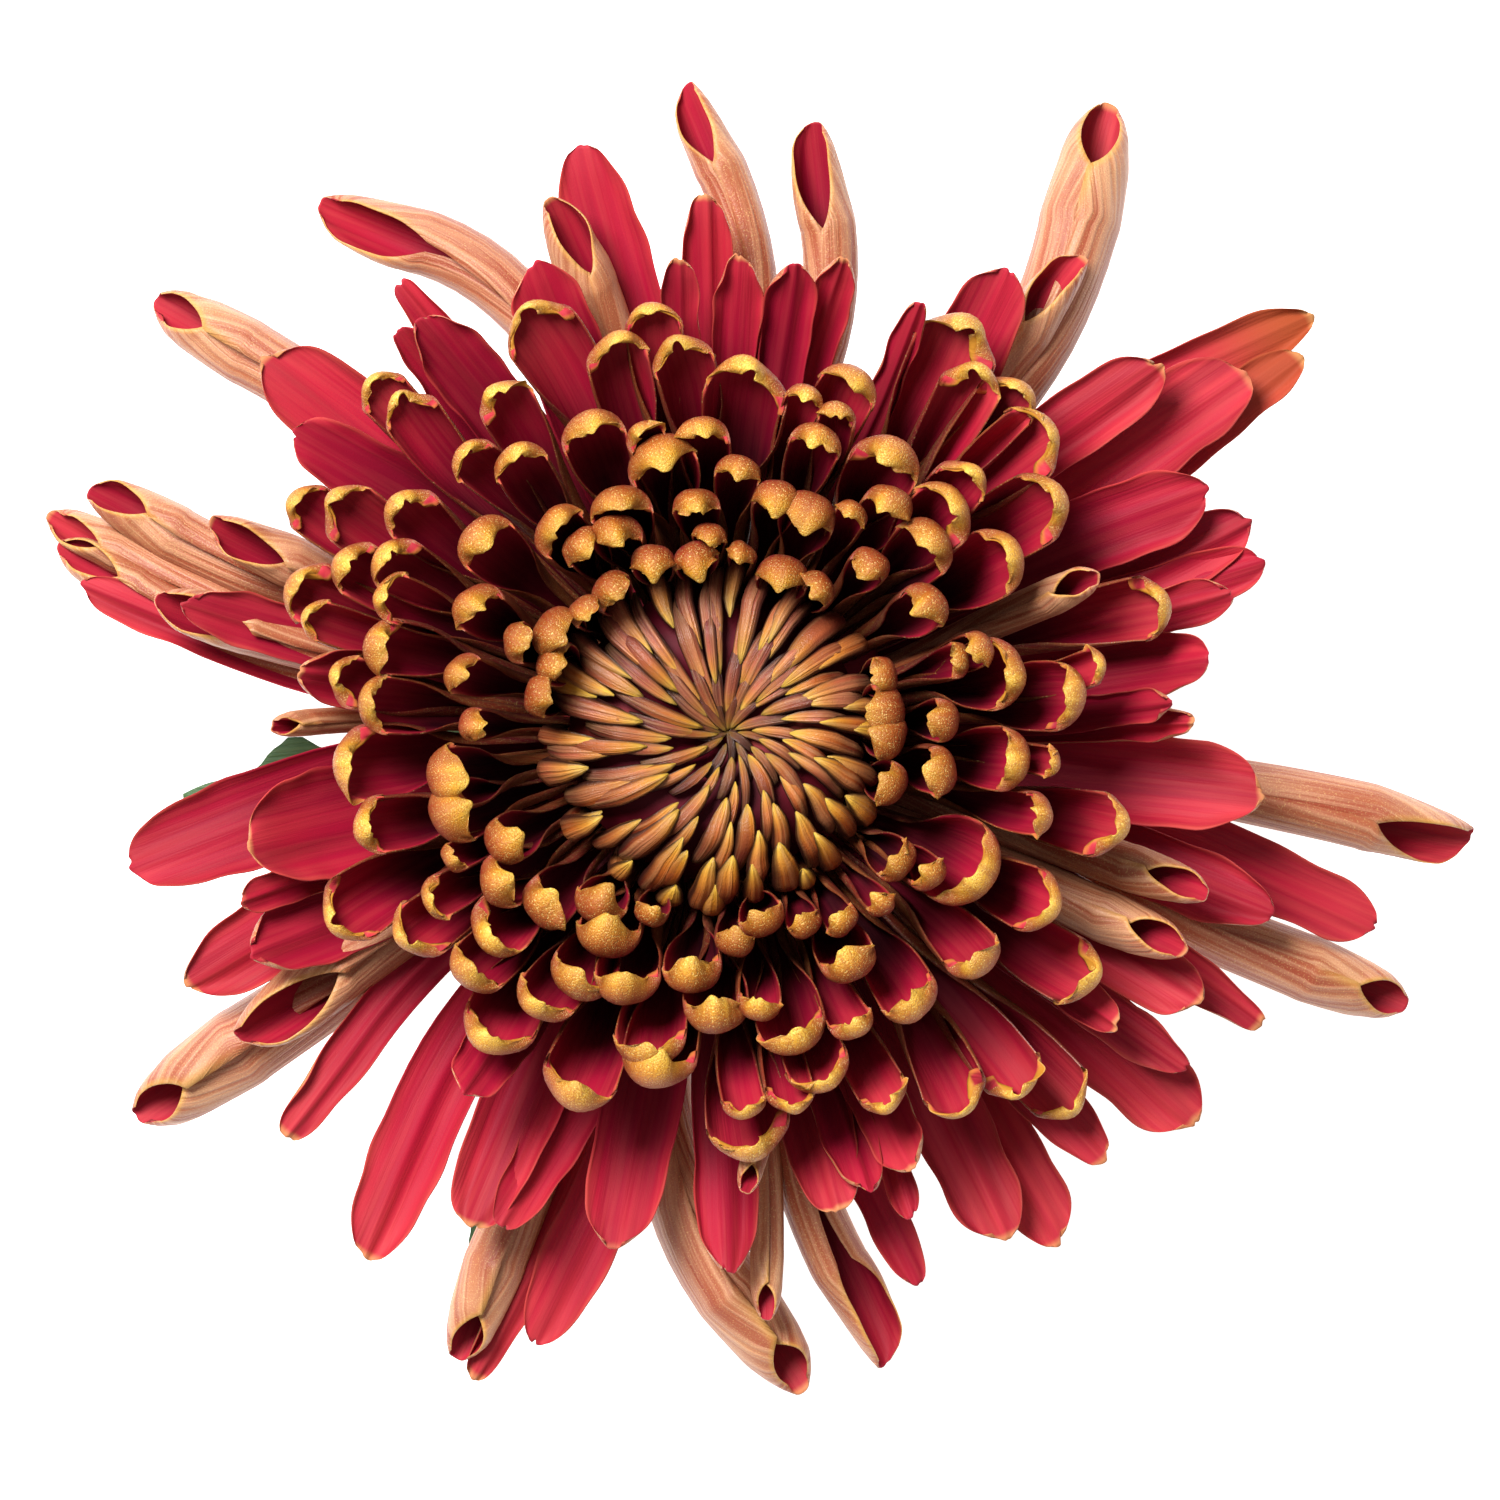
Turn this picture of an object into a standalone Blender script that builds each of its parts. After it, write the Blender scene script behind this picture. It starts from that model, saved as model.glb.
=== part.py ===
# Spider chrysanthemum, one cut bloom laid face up on its short stem and three leaves.
# Lengths are millimetres and angles degrees until a mesh is made; +Z is the bloom's axis.
import math

import bmesh
import bpy
from mathutils import Vector

MM = 0.001

CORE_HEIGHT = 38.0             # centre of the receptacle above the surface
CORE_SIDES = 11
CORE_SECTION = ((8.0, -9.0), (15.0, -6.3), (18.4, -0.5), (17.0, 5.2), (12.0, 7.2))
CORE_TOP = 7.2
CORE_BOTTOM = -9.0
ROOT_RADIUS = 8.5              # ray roots start this far from the core's centre
ROOT_WIDTH = 1.3
WALL = 1.0                     # thickness of a ray along its midrib
TIP_WALL = 0.8
TIP_WALL_FROM = 1.9            # place where the thinner wall begins
BODY_PULL = 0.36               # handles of a body's curve, as a share of its span

# Tips. A hook is an arc whose radius is a share of the ray's width, and it ends at a slope
# that falls with reach. Quills and open rays end in a slight turn.
HOOK_BEND = 0.47
HOOK_EXTRA = 0.8
HOOK_SLOPES = ((34.0, 207.0), (42.0, 190.0), (90.0, 165.0))
QUILL_TIP_WIDTHS = 1.5
QUILL_TIP_EXTRA = 3.0
QUILL_TURN = 24.0
OPEN_TIP_SHARE = 0.24
OPEN_TURNS = ((55.0, 10.0), (90.0, -5.0))

INVOLUCRE_SECTION = ((8.3, -9.4), (8.8, -10.3), (7.6, -12.6), (4.6, -15.2), (2.7, -17.0))
INVOLUCRE_SIDES = 12
BRACT_ROWS = 2
BRACTS_A_ROW = 10
BRACT_SHAPE = ((5.2, -13.2, 1.4), (8.8, -11.2, 2.2), (11.6, -9.9, 1.9), (14.0, -8.9, 0.4))
BRACT_ROW_STEP = (-1.6, -0.5)  # change of the tip's radius and height from row to row
BRACT_DROP = 0.5               # further drop of a whole row
BRACT_STAGGER = 0.07           # small drop between neighbours, repeated every three
BRACT_EDGE = 0.35              # edge, ridge and keel about the middle of a bract
BRACT_RIDGE = 0.4
BRACT_KEEL = 0.6

STEM_RADIUS = 2.6
STEM_RIBS = (-0.05, 0.07)      # changes of radius in turn round the stem
STEM_SIDES = 12
STEM_ROWS = 6
STEM_TOP = -17.3
STEM_END = -37.0
LEAF_THICKNESS = 0.9
STALK_THICKER = 1.8            # a leaf's stalk is this much thicker
LEAF_KEEL = 0.4                # depth of the keel where the leaf is off the surface

# Rays by reach, all measured from the core's centre: reach, height of the crest or tip,
# slope of the blade at its end, latitude of the root, slope of the blade at its root.
RAY_FAMILY = (
    (18.8, 26.0, 88, 27, 12),
    (22, 27.5, 85, 25, 13),
    (27, 28.4, 77, 20, 14),
    (32, 28.0, 68, 14, 15),
    (37, 26.0, 58, 9, 15),
    (42, 22.5, 46, 3, 14),
    (47, 18.0, 34, -2, 13),
    (52, 12.5, 24, -8, 12),
    (57, 7.0, 14, -14, 10),
    (62, 1.5, 4, -21, 8),
    (67, -3.0, -5, -27, 7),
    (72, -7.0, -12, -32, 6),
    (80, -12.0, -18, -38, 5),
)

# Blade outlines: place (0 to 1 along the body, 1 to 2 along the tip), share of the full
# width, and how far round the blade is rolled.
HOOKED_SHAPE = (
    (0.0, 0.0, 300),
    (0.5, 0.3, 300),
    (0.88, 1.0, 185),
    (1.4, 1.0, 165),
    (2.0, 0.4, 110),
)
OPEN_SHAPE = (
    (0.0, 0.0, 260),
    (0.4, 0.4, 140),
    (0.85, 1.0, 75),
    (1.5, 0.85, 60),
    (2.0, 0.14, 40),
)
QUILL_SHAPE = (
    (0.0, 0.0, 340),
    (0.5, 0.5, 340),
    (0.95, 0.95, 320),
    (1.45, 1.0, 140),
    (2.0, 0.2, 60),
)

# Hooked rays: bearing and reach of the outer edge of the cap, width.
HOOKED_RAYS = (
    (18, 17.5, 3.5), (3.3, 24, 3.6), (8.6, 17, 4.5), (358.6, 17.5, 4.5), (351.4, 24, 4.4),
    (343.2, 19.5, 4), (325, 23.5, 4), (325.6, 26.5, 3.5), (331, 31, 7),
    (305, 23.5, 3.2), (296, 22, 3), (285.5, 20.5, 4), (275, 22, 3.5), (266.5, 25.5, 5),
    (250.4, 20, 3), (237.2, 22.2, 4.5), (244.3, 24.5, 5.5), (224.2, 25.5, 5), (214, 27.5, 4.3),
    (207.9, 25, 4.5), (198.2, 29, 5), (190.3, 28.5, 5), (177.3, 25, 2.8), (169, 19, 3.8),
    (165.3, 26.8, 3.8), (156.7, 22.5, 3.5), (146.9, 20.5, 5), (156.1, 18.5, 4),
    (150.5, 28.2, 4.2), (139.8, 31.5, 5), (127.9, 17.8, 3.8),
    (128.9, 27, 4.5), (125.8, 24, 4), (114.5, 23.5, 4.5), (111.5, 26, 5.2), (108.8, 19.5, 3.8),
    (97.5, 18.5, 4), (94.7, 24, 4), (90.6, 20.5, 3), (67.6, 18, 4.5),
    (53.2, 16.5, 3.5), (76.4, 25.5, 4), (66, 25.5, 5), (57.6, 26.5, 3), (47.6, 24, 3.5),
    (53, 30, 4), (41.8, 30, 5), (32.7, 26, 4.5), (16, 26, 3),
    (84.5, 27.3, 3.5), (92.2, 31, 4.2), (102.5, 29.6, 5.5), (112, 34, 5),
    (70.8, 32, 4), (58.2, 34, 5.5), (42.7, 33.5, 5.5),
    (30.8, 35, 5.5), (46, 36.5, 4.5), (11.5, 31, 5.5), (4.9, 36.5, 5.5),
    (10.1, 39, 3), (354.8, 31, 5), (346.8, 34, 3.5), (332.6, 38, 5),
    (318, 35.5, 4.5), (306.6, 34.5, 5), (299.9, 28, 4.5), (295.2, 33, 3.5), (285.5, 32.5, 5.5),
    (278.3, 28.5, 3.5), (270.3, 29.5, 5), (287.9, 36.8, 5), (281.4, 38, 3.8), (274.8, 38, 3.5),
    (259.4, 33.3, 5.5), (252.3, 28, 5), (240.9, 29.5, 5), (237.2, 33, 5),
    (221.9, 31, 5), (224.7, 35, 5), (214.9, 37, 5),
    (194.6, 36.5, 4.5), (184.2, 37.5, 6), (175.4, 35, 4.5), (172.2, 38, 4), (165.3, 35.5, 4.5),
    (157.4, 36, 4), (151, 37.5, 4.5), (125.4, 34.5, 4.5), (131.9, 37.5, 4), (143.2, 39, 4.5),
    (83.6, 36.7, 6.5), (68.1, 38.5, 5), (95.7, 39, 5), (104.9, 40.5, 5), (98.4, 42.8, 4.5),
    (122.5, 40.5, 4.5), (114.3, 46, 6), (134.2, 49, 4), (132.8, 45.5, 4.5), (148.9, 44.5, 5),
    (150.7, 48, 4), (154.7, 41, 4.5), (159.8, 44.5, 5), (164, 42, 3.5), (206.5, 42.5, 5.5),
    (234.5, 38.5, 6), (248, 39.5, 6), (275.9, 42, 6.5), (295.5, 41, 4), (303.8, 45, 5),
    (310.4, 47, 5), (313.8, 52, 5.5), (326.9, 45, 5.5), (346, 41.5, 5), (34, 41.5, 6),
    (16.3, 46.7, 5), (54.5, 44.5, 5), (49.1, 46, 5), (57.9, 48, 7), (41.5, 45, 6),
)

# Open rays: bearing and reach of the tip, width, root's bearing and tip's heading, both
# as turns from the tip's bearing.
OPEN_RAYS = (
    (353.6, 55.3, 9, 0, 0), (8.9, 49.6, 7, 0, 0), (17.5, 57.6, 6, 0, 0), (21.8, 57.8, 7, 2, 4),
    (26.3, 55, 8, 3, -6), (34.2, 64.6, 9.5, 0, 0), (32.8, 70.5, 6, -2, 4),
    (35, 73.8, 6, 3, -10), (39.6, 58, 7, 3, -5), (57.8, 54.8, 8, -3, 6), (64.4, 47.3, 3, 2, 4),
    (15.2, 53.5, 5, 0, 0), (1.2, 47.6, 3.5, 0, 0),
    (74.8, 48.9, 4.5, 0, -3), (80.4, 47.2, 5.5, 0, 0), (87, 47.5, 5, 0, 0),
    (90.9, 53.8, 5.5, 0, 0), (94.3, 47.2, 4, 0, -4), (102.7, 60.5, 8, -3, 2),
    (111.3, 50.2, 8, 0, 0), (125.4, 50.6, 7, -3, 4), (125, 55, 4, -3, 4), (128, 51, 4, -3, 0),
    (140.2, 59, 9, -2, 3), (144.5, 51.6, 7, -3, 6), (166, 54.8, 5.5, 3, -3),
    (166.8, 65.6, 4.5, 7, -9), (171.6, 41.5, 6, 3, 0), (193, 60.3, 9.5, -7, 8),
    (193.4, 47.6, 11, 0, 0), (199.6, 50, 4, 0, 0), (205.4, 51.3, 8, 0, -4),
    (205.6, 58.7, 8, 2, 6), (223.2, 59, 5, -4, 10), (235.1, 43.5, 6.5, 0, 0),
    (236.4, 63.4, 7.5, -6, 10), (243.6, 55, 8, -2, 4), (246.6, 53.6, 6, 4, -8),
    (253.5, 64, 7, 4, -9), (249.3, 69.6, 4.5, 3, -6), (258.8, 52.4, 8, 0, 0),
    (271.6, 53.8, 6.5, 0, 0), (284.5, 49, 7.5, 0, 0), (290.1, 59, 4.5, 2, 6),
    (299.8, 58.6, 8, 2, -4), (304, 62, 7, 0, -4),
    (312.4, 58, 6, -2, 0), (320.8, 62.4, 9, 2, -4), (324.6, 58, 5, 0, 0),
    (323.9, 49.5, 4.5, 0, 0), (330.9, 55.6, 7, 2, -3), (331.8, 62.2, 4.5, 3, -8),
    (342, 58.8, 7, 2, -4), (343.5, 69.4, 7, 4, -8),
)

# Quilled rays: the same five numbers.
QUILLED_RAYS = (
    (352.6, 77.4, 6.5, 3, -4), (52, 60.4, 5, 0, 0), (57.9, 75.2, 8, -8, 17),
    (80.6, 62.2, 5.5, 2, 16), (92.4, 65.5, 4.5, -8, 20), (107.6, 55.8, 5.5, 0, 6),
    (126.6, 66.8, 6.5, -10, 32), (142.4, 71.7, 6.5, -5, 8), (157, 54.7, 5, 2, -4),
    (159, 67.7, 5.5, 3, -6), (161.7, 70.9, 4.5, 9, -10), (164.2, 69, 5, 11, -13),
    (166.2, 57.5, 5.5, 2, -4), (179.2, 43.8, 2.2, -2, 6), (212.4, 56.8, 7, -1, 2),
    (213.6, 70.2, 8, 0, 0), (247.4, 68.3, 6, 0, 0), (277.6, 67, 7.5, -17, 28),
    (284.7, 66, 6, -3, 10),
    (334.8, 51.7, 5, 0, 0), (341.6, 51.7, 4.5, 0, -2), (338.4, 75.2, 6.5, 0, 0),
    (22, 41, 3.5, -2, 0),
)

# Button of closed florets: section of its surface from the flank to the middle.
BUTTON_FLORETS = 64
BUTTON_SIDES = 10
BUTTON_CREST = (
    (12.8, 10.6), (14.0, 14.0), (13.6, 17.4), (11.6, 19.8), (8.6, 20.4), (4.4, 18.8),
    (0.0, 16.8),
)
BUTTON_BASE = (9.0, 7.9)
GOLDEN_ANGLE = 137.508
CREST_SPAN = 19.0              # length of the section that floret roots are spread over
CROWDING = 0.6                 # under 1 packs more florets towards the flank
FLORET_LENGTH = (3.2, 4.0)     # in the middle, and added at the flank
FLORET_HALF = (0.4, 0.85)
FLORET_SHAPE = ((0.0, 0.4, -0.4), (0.4, 1.0, 0.5), (1.0, 0.2, 1.0))  # share, width, lift
FLORET_DEPTH = 0.8
FLORET_RIDGE = 0.3

# Leaves: name, bearing and reach.
LEAVES = (("leaf_1", 186.7, 55.5), ("leaf_2", 247.0, 62.5), ("leaf_3", 34.0, 57.0))
# Leaf outline: share of the length, half width, height of the underside.
LEAF_SHAPE = (
    (0.0, 1.0, 11.0), (0.1, 0.9, 9.6), (0.22, 1.0, 5.6), (0.32, 3.4, 2.2), (0.42, 8.2, 0.0),
    (0.52, 9.2, 0.0), (0.6, 5.0, 0.0), (0.68, 2.8, 0.0), (0.78, 5.4, 0.0), (0.88, 4.6, 0.0),
    (0.95, 2.6, 0.0), (1.0, 0.5, 0.0),
)
LEAF_START = 3.1               # just clear of the skin of a stem that leans this much
STEM_LEAN = 0.3                # drift along +X where the leaves join


def clear_scene():
    for obj in list(bpy.data.objects):
        bpy.data.objects.remove(obj, do_unlink=True)


def make_material(name, colour, roughness):
    material = bpy.data.materials.new(name)
    material.use_nodes = True
    shader = material.node_tree.nodes["Principled BSDF"]
    shader.inputs["Base Color"].default_value = (*colour, 1.0)
    shader.inputs["Roughness"].default_value = roughness
    shader.inputs["Metallic"].default_value = 0.0
    material.diffuse_color = (*colour, 1.0)
    return material


def mesh_object(name, verts, faces, material=None, collection=None):
    mesh = bpy.data.meshes.new(name)
    mesh.from_pydata([Vector(v) * MM for v in verts], [], faces)
    mesh.update()
    work = bmesh.new()
    work.from_mesh(mesh)
    bmesh.ops.recalc_face_normals(work, faces=work.faces)
    work.to_mesh(mesh)
    work.free()
    obj = bpy.data.objects.new(name, mesh)
    (collection or bpy.context.scene.collection).objects.link(obj)
    if material:
        mesh.materials.append(material)
    return obj


def interpolate(table, x):
    if x <= table[0][0]:
        return table[0][1:]
    for low, high in zip(table, table[1:]):
        if x <= high[0]:
            t = (x - low[0]) / (high[0] - low[0])
            return tuple(a + (b - a) * t for a, b in zip(low[1:], high[1:]))
    return table[-1][1:]


def heading(angle):
    return Vector((math.cos(math.radians(angle)), math.sin(math.radians(angle)), 0.0))


def along(slope, flat):
    # direction that climbs at this slope over a level heading
    return flat * math.cos(math.radians(slope)) + Vector((0, 0, math.sin(math.radians(slope))))


def by_reach(table, reach):
    return next(value for limit, value in table if reach < limit)


def tip_of(form, reach, width, end_slope):
    # length of the curled tip and the slope it ends at
    if form == "hooked":
        final = by_reach(HOOK_SLOPES, reach)
        return HOOK_BEND * width * math.radians(final - end_slope) + HOOK_EXTRA, final
    if form == "quilled":
        return QUILL_TIP_WIDTHS * width + QUILL_TIP_EXTRA, end_slope + QUILL_TURN
    return OPEN_TIP_SHARE * reach, end_slope + by_reach(OPEN_TURNS, reach)


def ray_spine(form, bearing, reach, width, root_turn, tip_turn):
    # Body: a cubic from the core to the foot of the tip. Tip: an arc whose slope keeps
    # growing. Returns a function from place (0 to 2) to point, direction and inner normal.
    crest, end_slope, latitude, root_slope = interpolate(RAY_FAMILY, reach)
    length, final = tip_of(form, reach, width, end_slope)
    sweep = math.radians(final - end_slope)
    radius = length / sweep
    first = math.radians(end_slope)
    last = math.radians(final)
    root_flat = heading(bearing + root_turn)
    tip_flat = heading(bearing + tip_turn)
    if form == "hooked":
        stretch = radius * (1.0 - math.sin(first))
        climb = radius * (math.cos(first) - math.cos(min(last, math.pi)))
    else:
        stretch = radius * (math.sin(last) - math.sin(first))
        climb = radius * (math.cos(first) - math.cos(last))
    outer = heading(bearing) * reach + Vector((0, 0, crest))
    foot = outer - tip_flat * stretch - Vector((0, 0, climb))
    root = along(latitude, root_flat) * ROOT_RADIUS
    root_way = along(root_slope, root_flat)
    foot_way = along(end_slope, tip_flat)
    pull = (foot - root).length * BODY_PULL
    a, b, c, d = root, root + root_way * pull, foot - foot_way * pull, foot

    def at(place):
        if place <= 1.0:
            t = place
            u = 1.0 - t
            point = a * u ** 3 + b * 3 * t * u * u + c * 3 * t * t * u + d * t ** 3
            way = (b - a) * u * u + (c - b) * 2 * t * u + (d - c) * t * t
            way.normalize()
            flat = root_flat.lerp(tip_flat, t).normalized()
        else:
            angle = first + sweep * (place - 1.0)
            flat = tip_flat
            point = foot + flat * radius * (math.sin(angle) - math.sin(first))
            point += Vector((0, 0, radius * (math.cos(first) - math.cos(angle))))
            way = flat * math.cos(angle) + Vector((0, 0, math.sin(angle)))
        normal = flat * -way.z + Vector((0, 0, way.dot(flat)))
        across = way.cross(normal).normalized()
        return point, across, across.cross(way).normalized()

    return at


def section(width, wrap, wall):
    # half width, lift of the two edges and height of the inner midrib above the spine
    roll = math.radians(wrap)
    half = width / 2
    radius = half / math.sin(min(roll, math.pi) / 2)
    if roll <= math.pi:
        return half, radius * (1 - math.cos(roll / 2)), wall / 2
    closed = (roll - math.pi) / math.pi
    return half, radius, wall / 2 + (2 * radius - wall) * closed


def blade(rings):
    # Skin over rings of left edge, inner midrib, right edge, outer midrib. Both faces are
    # split along the same diagonal, so they never cross.
    verts = [corner for ring in rings for corner in ring]
    faces = [(0, 1, 3), (2, 3, 1)]
    for i in range(len(rings) - 1):
        p = 4 * i
        q = p + 4
        for edge in (0, 2):
            for mid in (1, 3):
                faces.append((p + edge, p + mid, q + mid))
                faces.append((p + edge, q + mid, q + edge))
    p = 4 * (len(rings) - 1)
    faces += [(p, p + 1, p + 3), (p + 2, p + 3, p + 1)]
    return verts, faces


def ray(form, shape, bearing, reach, width, root_turn=0.0, tip_turn=0.0):
    reach = max(reach, RAY_FAMILY[0][0])
    spine = ray_spine(form, bearing, reach, width, root_turn, tip_turn)
    rings = []
    for place, share, wrap in shape:
        point, across, normal = spine(place)
        wide = ROOT_WIDTH + (width - ROOT_WIDTH) * share
        wall = WALL if place < TIP_WALL_FROM else TIP_WALL
        half, lift, inner = section(wide, wrap, wall)
        rings.append([point - across * half + normal * lift, point + normal * inner,
                      point + across * half + normal * lift, point - normal * (wall / 2)])
    return blade(rings)


def lathe(profile, steps):
    # closed solid of revolution; the profile starts and ends on the axis
    verts = [(0.0, 0.0, profile[0][1])]
    faces = []
    for r, z in profile[1:-1]:
        for k in range(steps):
            turn = 2 * math.pi * k / steps
            verts.append((r * math.cos(turn), r * math.sin(turn), z))
    verts.append((0.0, 0.0, profile[-1][1]))
    last = len(verts) - 1
    rows = len(profile) - 2
    for k in range(steps):
        n = (k + 1) % steps
        faces.append((0, 1 + k, 1 + n))
        for row in range(rows - 1):
            p = 1 + row * steps
            q = p + steps
            faces.append((p + k, q + k, q + n))
            faces.append((p + k, q + n, p + n))
        p = 1 + (rows - 1) * steps
        faces.append((p + n, p + k, last))
    return verts, faces


def fuse(name, body, pieces, material, solver="EXACT"):
    # one union of the body with every repeat, then the repeats go
    base = mesh_object(name, *body, material)
    repeats = bpy.data.collections.new(name + "_repeats")
    bpy.context.scene.collection.children.link(repeats)
    for number, piece in enumerate(pieces):
        mesh_object(f"{name}_{number}", *piece, collection=repeats)
    union = base.modifiers.new("union", "BOOLEAN")
    union.operation = "UNION"
    union.operand_type = "COLLECTION"
    union.collection = repeats
    union.solver = solver
    bpy.context.view_layer.objects.active = base
    bpy.ops.object.modifier_apply(modifier=union.name)
    for obj in list(repeats.objects):
        bpy.data.objects.remove(obj, do_unlink=True)
    bpy.data.collections.remove(repeats)
    base.data.materials.clear()
    base.data.materials.append(material)
    return base


def tidy_solid(obj):
    # split faces into triangles, drop loose scraps and sealed hollows
    work = bmesh.new()
    work.from_mesh(obj.data)
    bmesh.ops.triangulate(work, faces=work.faces)
    seen = set()
    islands = []
    for start in work.verts:
        if start in seen:
            continue
        stack = [start]
        seen.add(start)
        island = []
        while stack:
            vert = stack.pop()
            island.append(vert)
            for edge in vert.link_edges:
                other = edge.other_vert(vert)
                if other not in seen:
                    seen.add(other)
                    stack.append(other)
        islands.append(island)
    islands.sort(key=len, reverse=True)
    scraps = [vert for island in islands[1:] for vert in island]
    bmesh.ops.delete(work, geom=scraps, context="VERTS")
    work.to_mesh(obj.data)
    work.free()


def build_rays(material):
    profile = [(0.0, CORE_BOTTOM)] + list(CORE_SECTION) + [(0.0, CORE_TOP)]
    pieces = []
    for row in HOOKED_RAYS:
        pieces.append(ray("hooked", HOOKED_SHAPE, *row))
    for row in OPEN_RAYS:
        pieces.append(ray("open", OPEN_SHAPE, *row))
    for row in QUILLED_RAYS:
        pieces.append(ray("quilled", QUILL_SHAPE, *row))
    obj = fuse("ray_florets", lathe(profile, CORE_SIDES), pieces, material)
    tidy_solid(obj)
    return obj


def crest_point(distance):
    # point and outward normal of the button's section, by length from the flank
    for (r0, z0), (r1, z1) in zip(BUTTON_CREST, BUTTON_CREST[1:]):
        step = math.hypot(r1 - r0, z1 - z0)
        if distance <= step or r1 == 0.0:
            t = min(distance / step, 1.0)
            return (r0 + (r1 - r0) * t, z0 + (z1 - z0) * t,
                    (z1 - z0) / step, (r0 - r1) / step)
        distance -= step
    return None


def button_floret(number):
    # outward runs from 0 in the middle to 1 at the flank
    outward = ((number + 0.5) / BUTTON_FLORETS) ** CROWDING
    bearing = number * GOLDEN_ANGLE
    start = CREST_SPAN * (1.0 - outward)
    length = FLORET_LENGTH[0] + FLORET_LENGTH[1] * outward
    half = FLORET_HALF[0] + FLORET_HALF[1] * outward
    flat = heading(bearing)
    side = heading(bearing + 90)
    rings = []
    for share, wide, high in FLORET_SHAPE:
        r, z, nr, nz = crest_point(start + length * share)
        out = flat * nr + Vector((0, 0, nz))
        middle = flat * r + Vector((0, 0, z)) + out * high * (1.0 + outward) / 2
        ridge = FLORET_RIDGE + half * wide / 2
        rings.append([middle - side * half * wide, middle - out * FLORET_DEPTH,
                      middle + side * half * wide, middle + out * ridge])
    return blade(rings)


def build_button(material):
    profile = [(0.0, BUTTON_BASE[1]), BUTTON_BASE] + list(BUTTON_CREST)
    pieces = [button_floret(number) for number in range(BUTTON_FLORETS)]
    obj = fuse("centre_florets", lathe(profile, BUTTON_SIDES), pieces, material)
    tidy_solid(obj)
    return obj


def build_involucre(material):
    profile = [(0.0, INVOLUCRE_SECTION[0][1])] + list(INVOLUCRE_SECTION)
    profile.append((0.0, INVOLUCRE_SECTION[-1][1]))
    pieces = []
    for row in range(BRACT_ROWS):
        for number in range(BRACTS_A_ROW):
            flat = heading((number + 0.5 * row) * 360.0 / BRACTS_A_ROW)
            side = Vector((-flat.y, flat.x, 0))
            drop = BRACT_DROP * row + BRACT_STAGGER * (number % 3)
            rings = []
            for r, z, half in BRACT_SHAPE:
                if (r, z, half) == BRACT_SHAPE[-1]:
                    r += BRACT_ROW_STEP[0] * row
                    z += BRACT_ROW_STEP[1] * row
                middle = flat * r + Vector((0, 0, z - drop))
                rings.append([middle - side * half + Vector((0, 0, BRACT_EDGE)),
                              middle + Vector((0, 0, BRACT_RIDGE)),
                              middle + side * half + Vector((0, 0, BRACT_EDGE)),
                              middle - Vector((0, 0, BRACT_KEEL))])
            pieces.append(blade(rings))
    obj = fuse("involucre", lathe(profile, INVOLUCRE_SIDES), pieces, material, "MANIFOLD")
    tidy_solid(obj)
    return obj


def build_stem(material):
    sides = STEM_SIDES
    verts = []
    faces = []
    for row in range(STEM_ROWS):
        t = row / (STEM_ROWS - 1)
        z = STEM_TOP + (STEM_END - STEM_TOP) * t
        drift = 4.0 * STEM_LEAN * t * t
        for k in range(sides):
            turn = 2 * math.pi * k / sides
            radius = STEM_RADIUS * (1.0 + STEM_RIBS[k % 2])
            verts.append((drift + radius * math.cos(turn), radius * math.sin(turn), z))
    faces.append(tuple(range(sides)))
    for row in range(STEM_ROWS - 1):
        p = row * sides
        for k in range(sides):
            n = (k + 1) % sides
            faces.append((p + k, p + sides + k, p + sides + n))
            faces.append((p + k, p + sides + n, p + n))
    faces.append(tuple(range(len(verts) - 1, len(verts) - sides - 1, -1)))
    return mesh_object("stem", verts, faces, material)


def build_leaf(name, bearing, reach, material):
    flat = heading(bearing)
    side = Vector((-flat.y, flat.x, 0))
    start = LEAF_START + STEM_LEAN * flat.x
    rings = []
    for share, half, low in LEAF_SHAPE:
        middle = flat * (start + (reach - start) * share)
        middle.z = low - CORE_HEIGHT
        is_stalk = half < 1.5 and share < 0.5
        thick = LEAF_THICKNESS * (STALK_THICKER if is_stalk else 1.0)
        keel = LEAF_KEEL if low else 0.0
        rings.append([middle - side * half, middle + Vector((0, 0, thick)),
                      middle + side * half, middle - Vector((0, 0, keel))])
    return mesh_object(name, *blade(rings), material)


def settle(objects):
    # rest the lowest point on z = 0 and centre the object over the origin
    bpy.context.view_layer.update()
    corners = [obj.matrix_world @ vert.co for obj in objects for vert in obj.data.vertices]
    low = Vector([min(c[i] for c in corners) for i in range(3)])
    high = Vector([max(c[i] for c in corners) for i in range(3)])
    shift = Vector((-(low.x + high.x) / 2, -(low.y + high.y) / 2, -low.z))
    for obj in objects:
        obj.location += shift


def main():
    clear_scene()
    crimson = make_material("ray_crimson", (0.36, 0.012, 0.030), 0.55)
    bronze = make_material("button_bronze", (0.36, 0.13, 0.055), 0.6)
    bract = make_material("bract_green", (0.10, 0.16, 0.05), 0.65)
    stalk = make_material("stem_green", (0.13, 0.19, 0.06), 0.6)
    objects = [
        build_rays(crimson),
        build_button(bronze),
        build_involucre(bract),
        build_stem(stalk),
    ]
    for name, bearing, reach in LEAVES:
        leaf_green = make_material(name + "_green", (0.06, 0.14, 0.05), 0.55)
        objects.append(build_leaf(name, bearing, reach, leaf_green))
    settle(objects)


main()
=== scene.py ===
# Spider chrysanthemum seen from straight above. Lengths are millimetres until a mesh is made.
import math
import random

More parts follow.
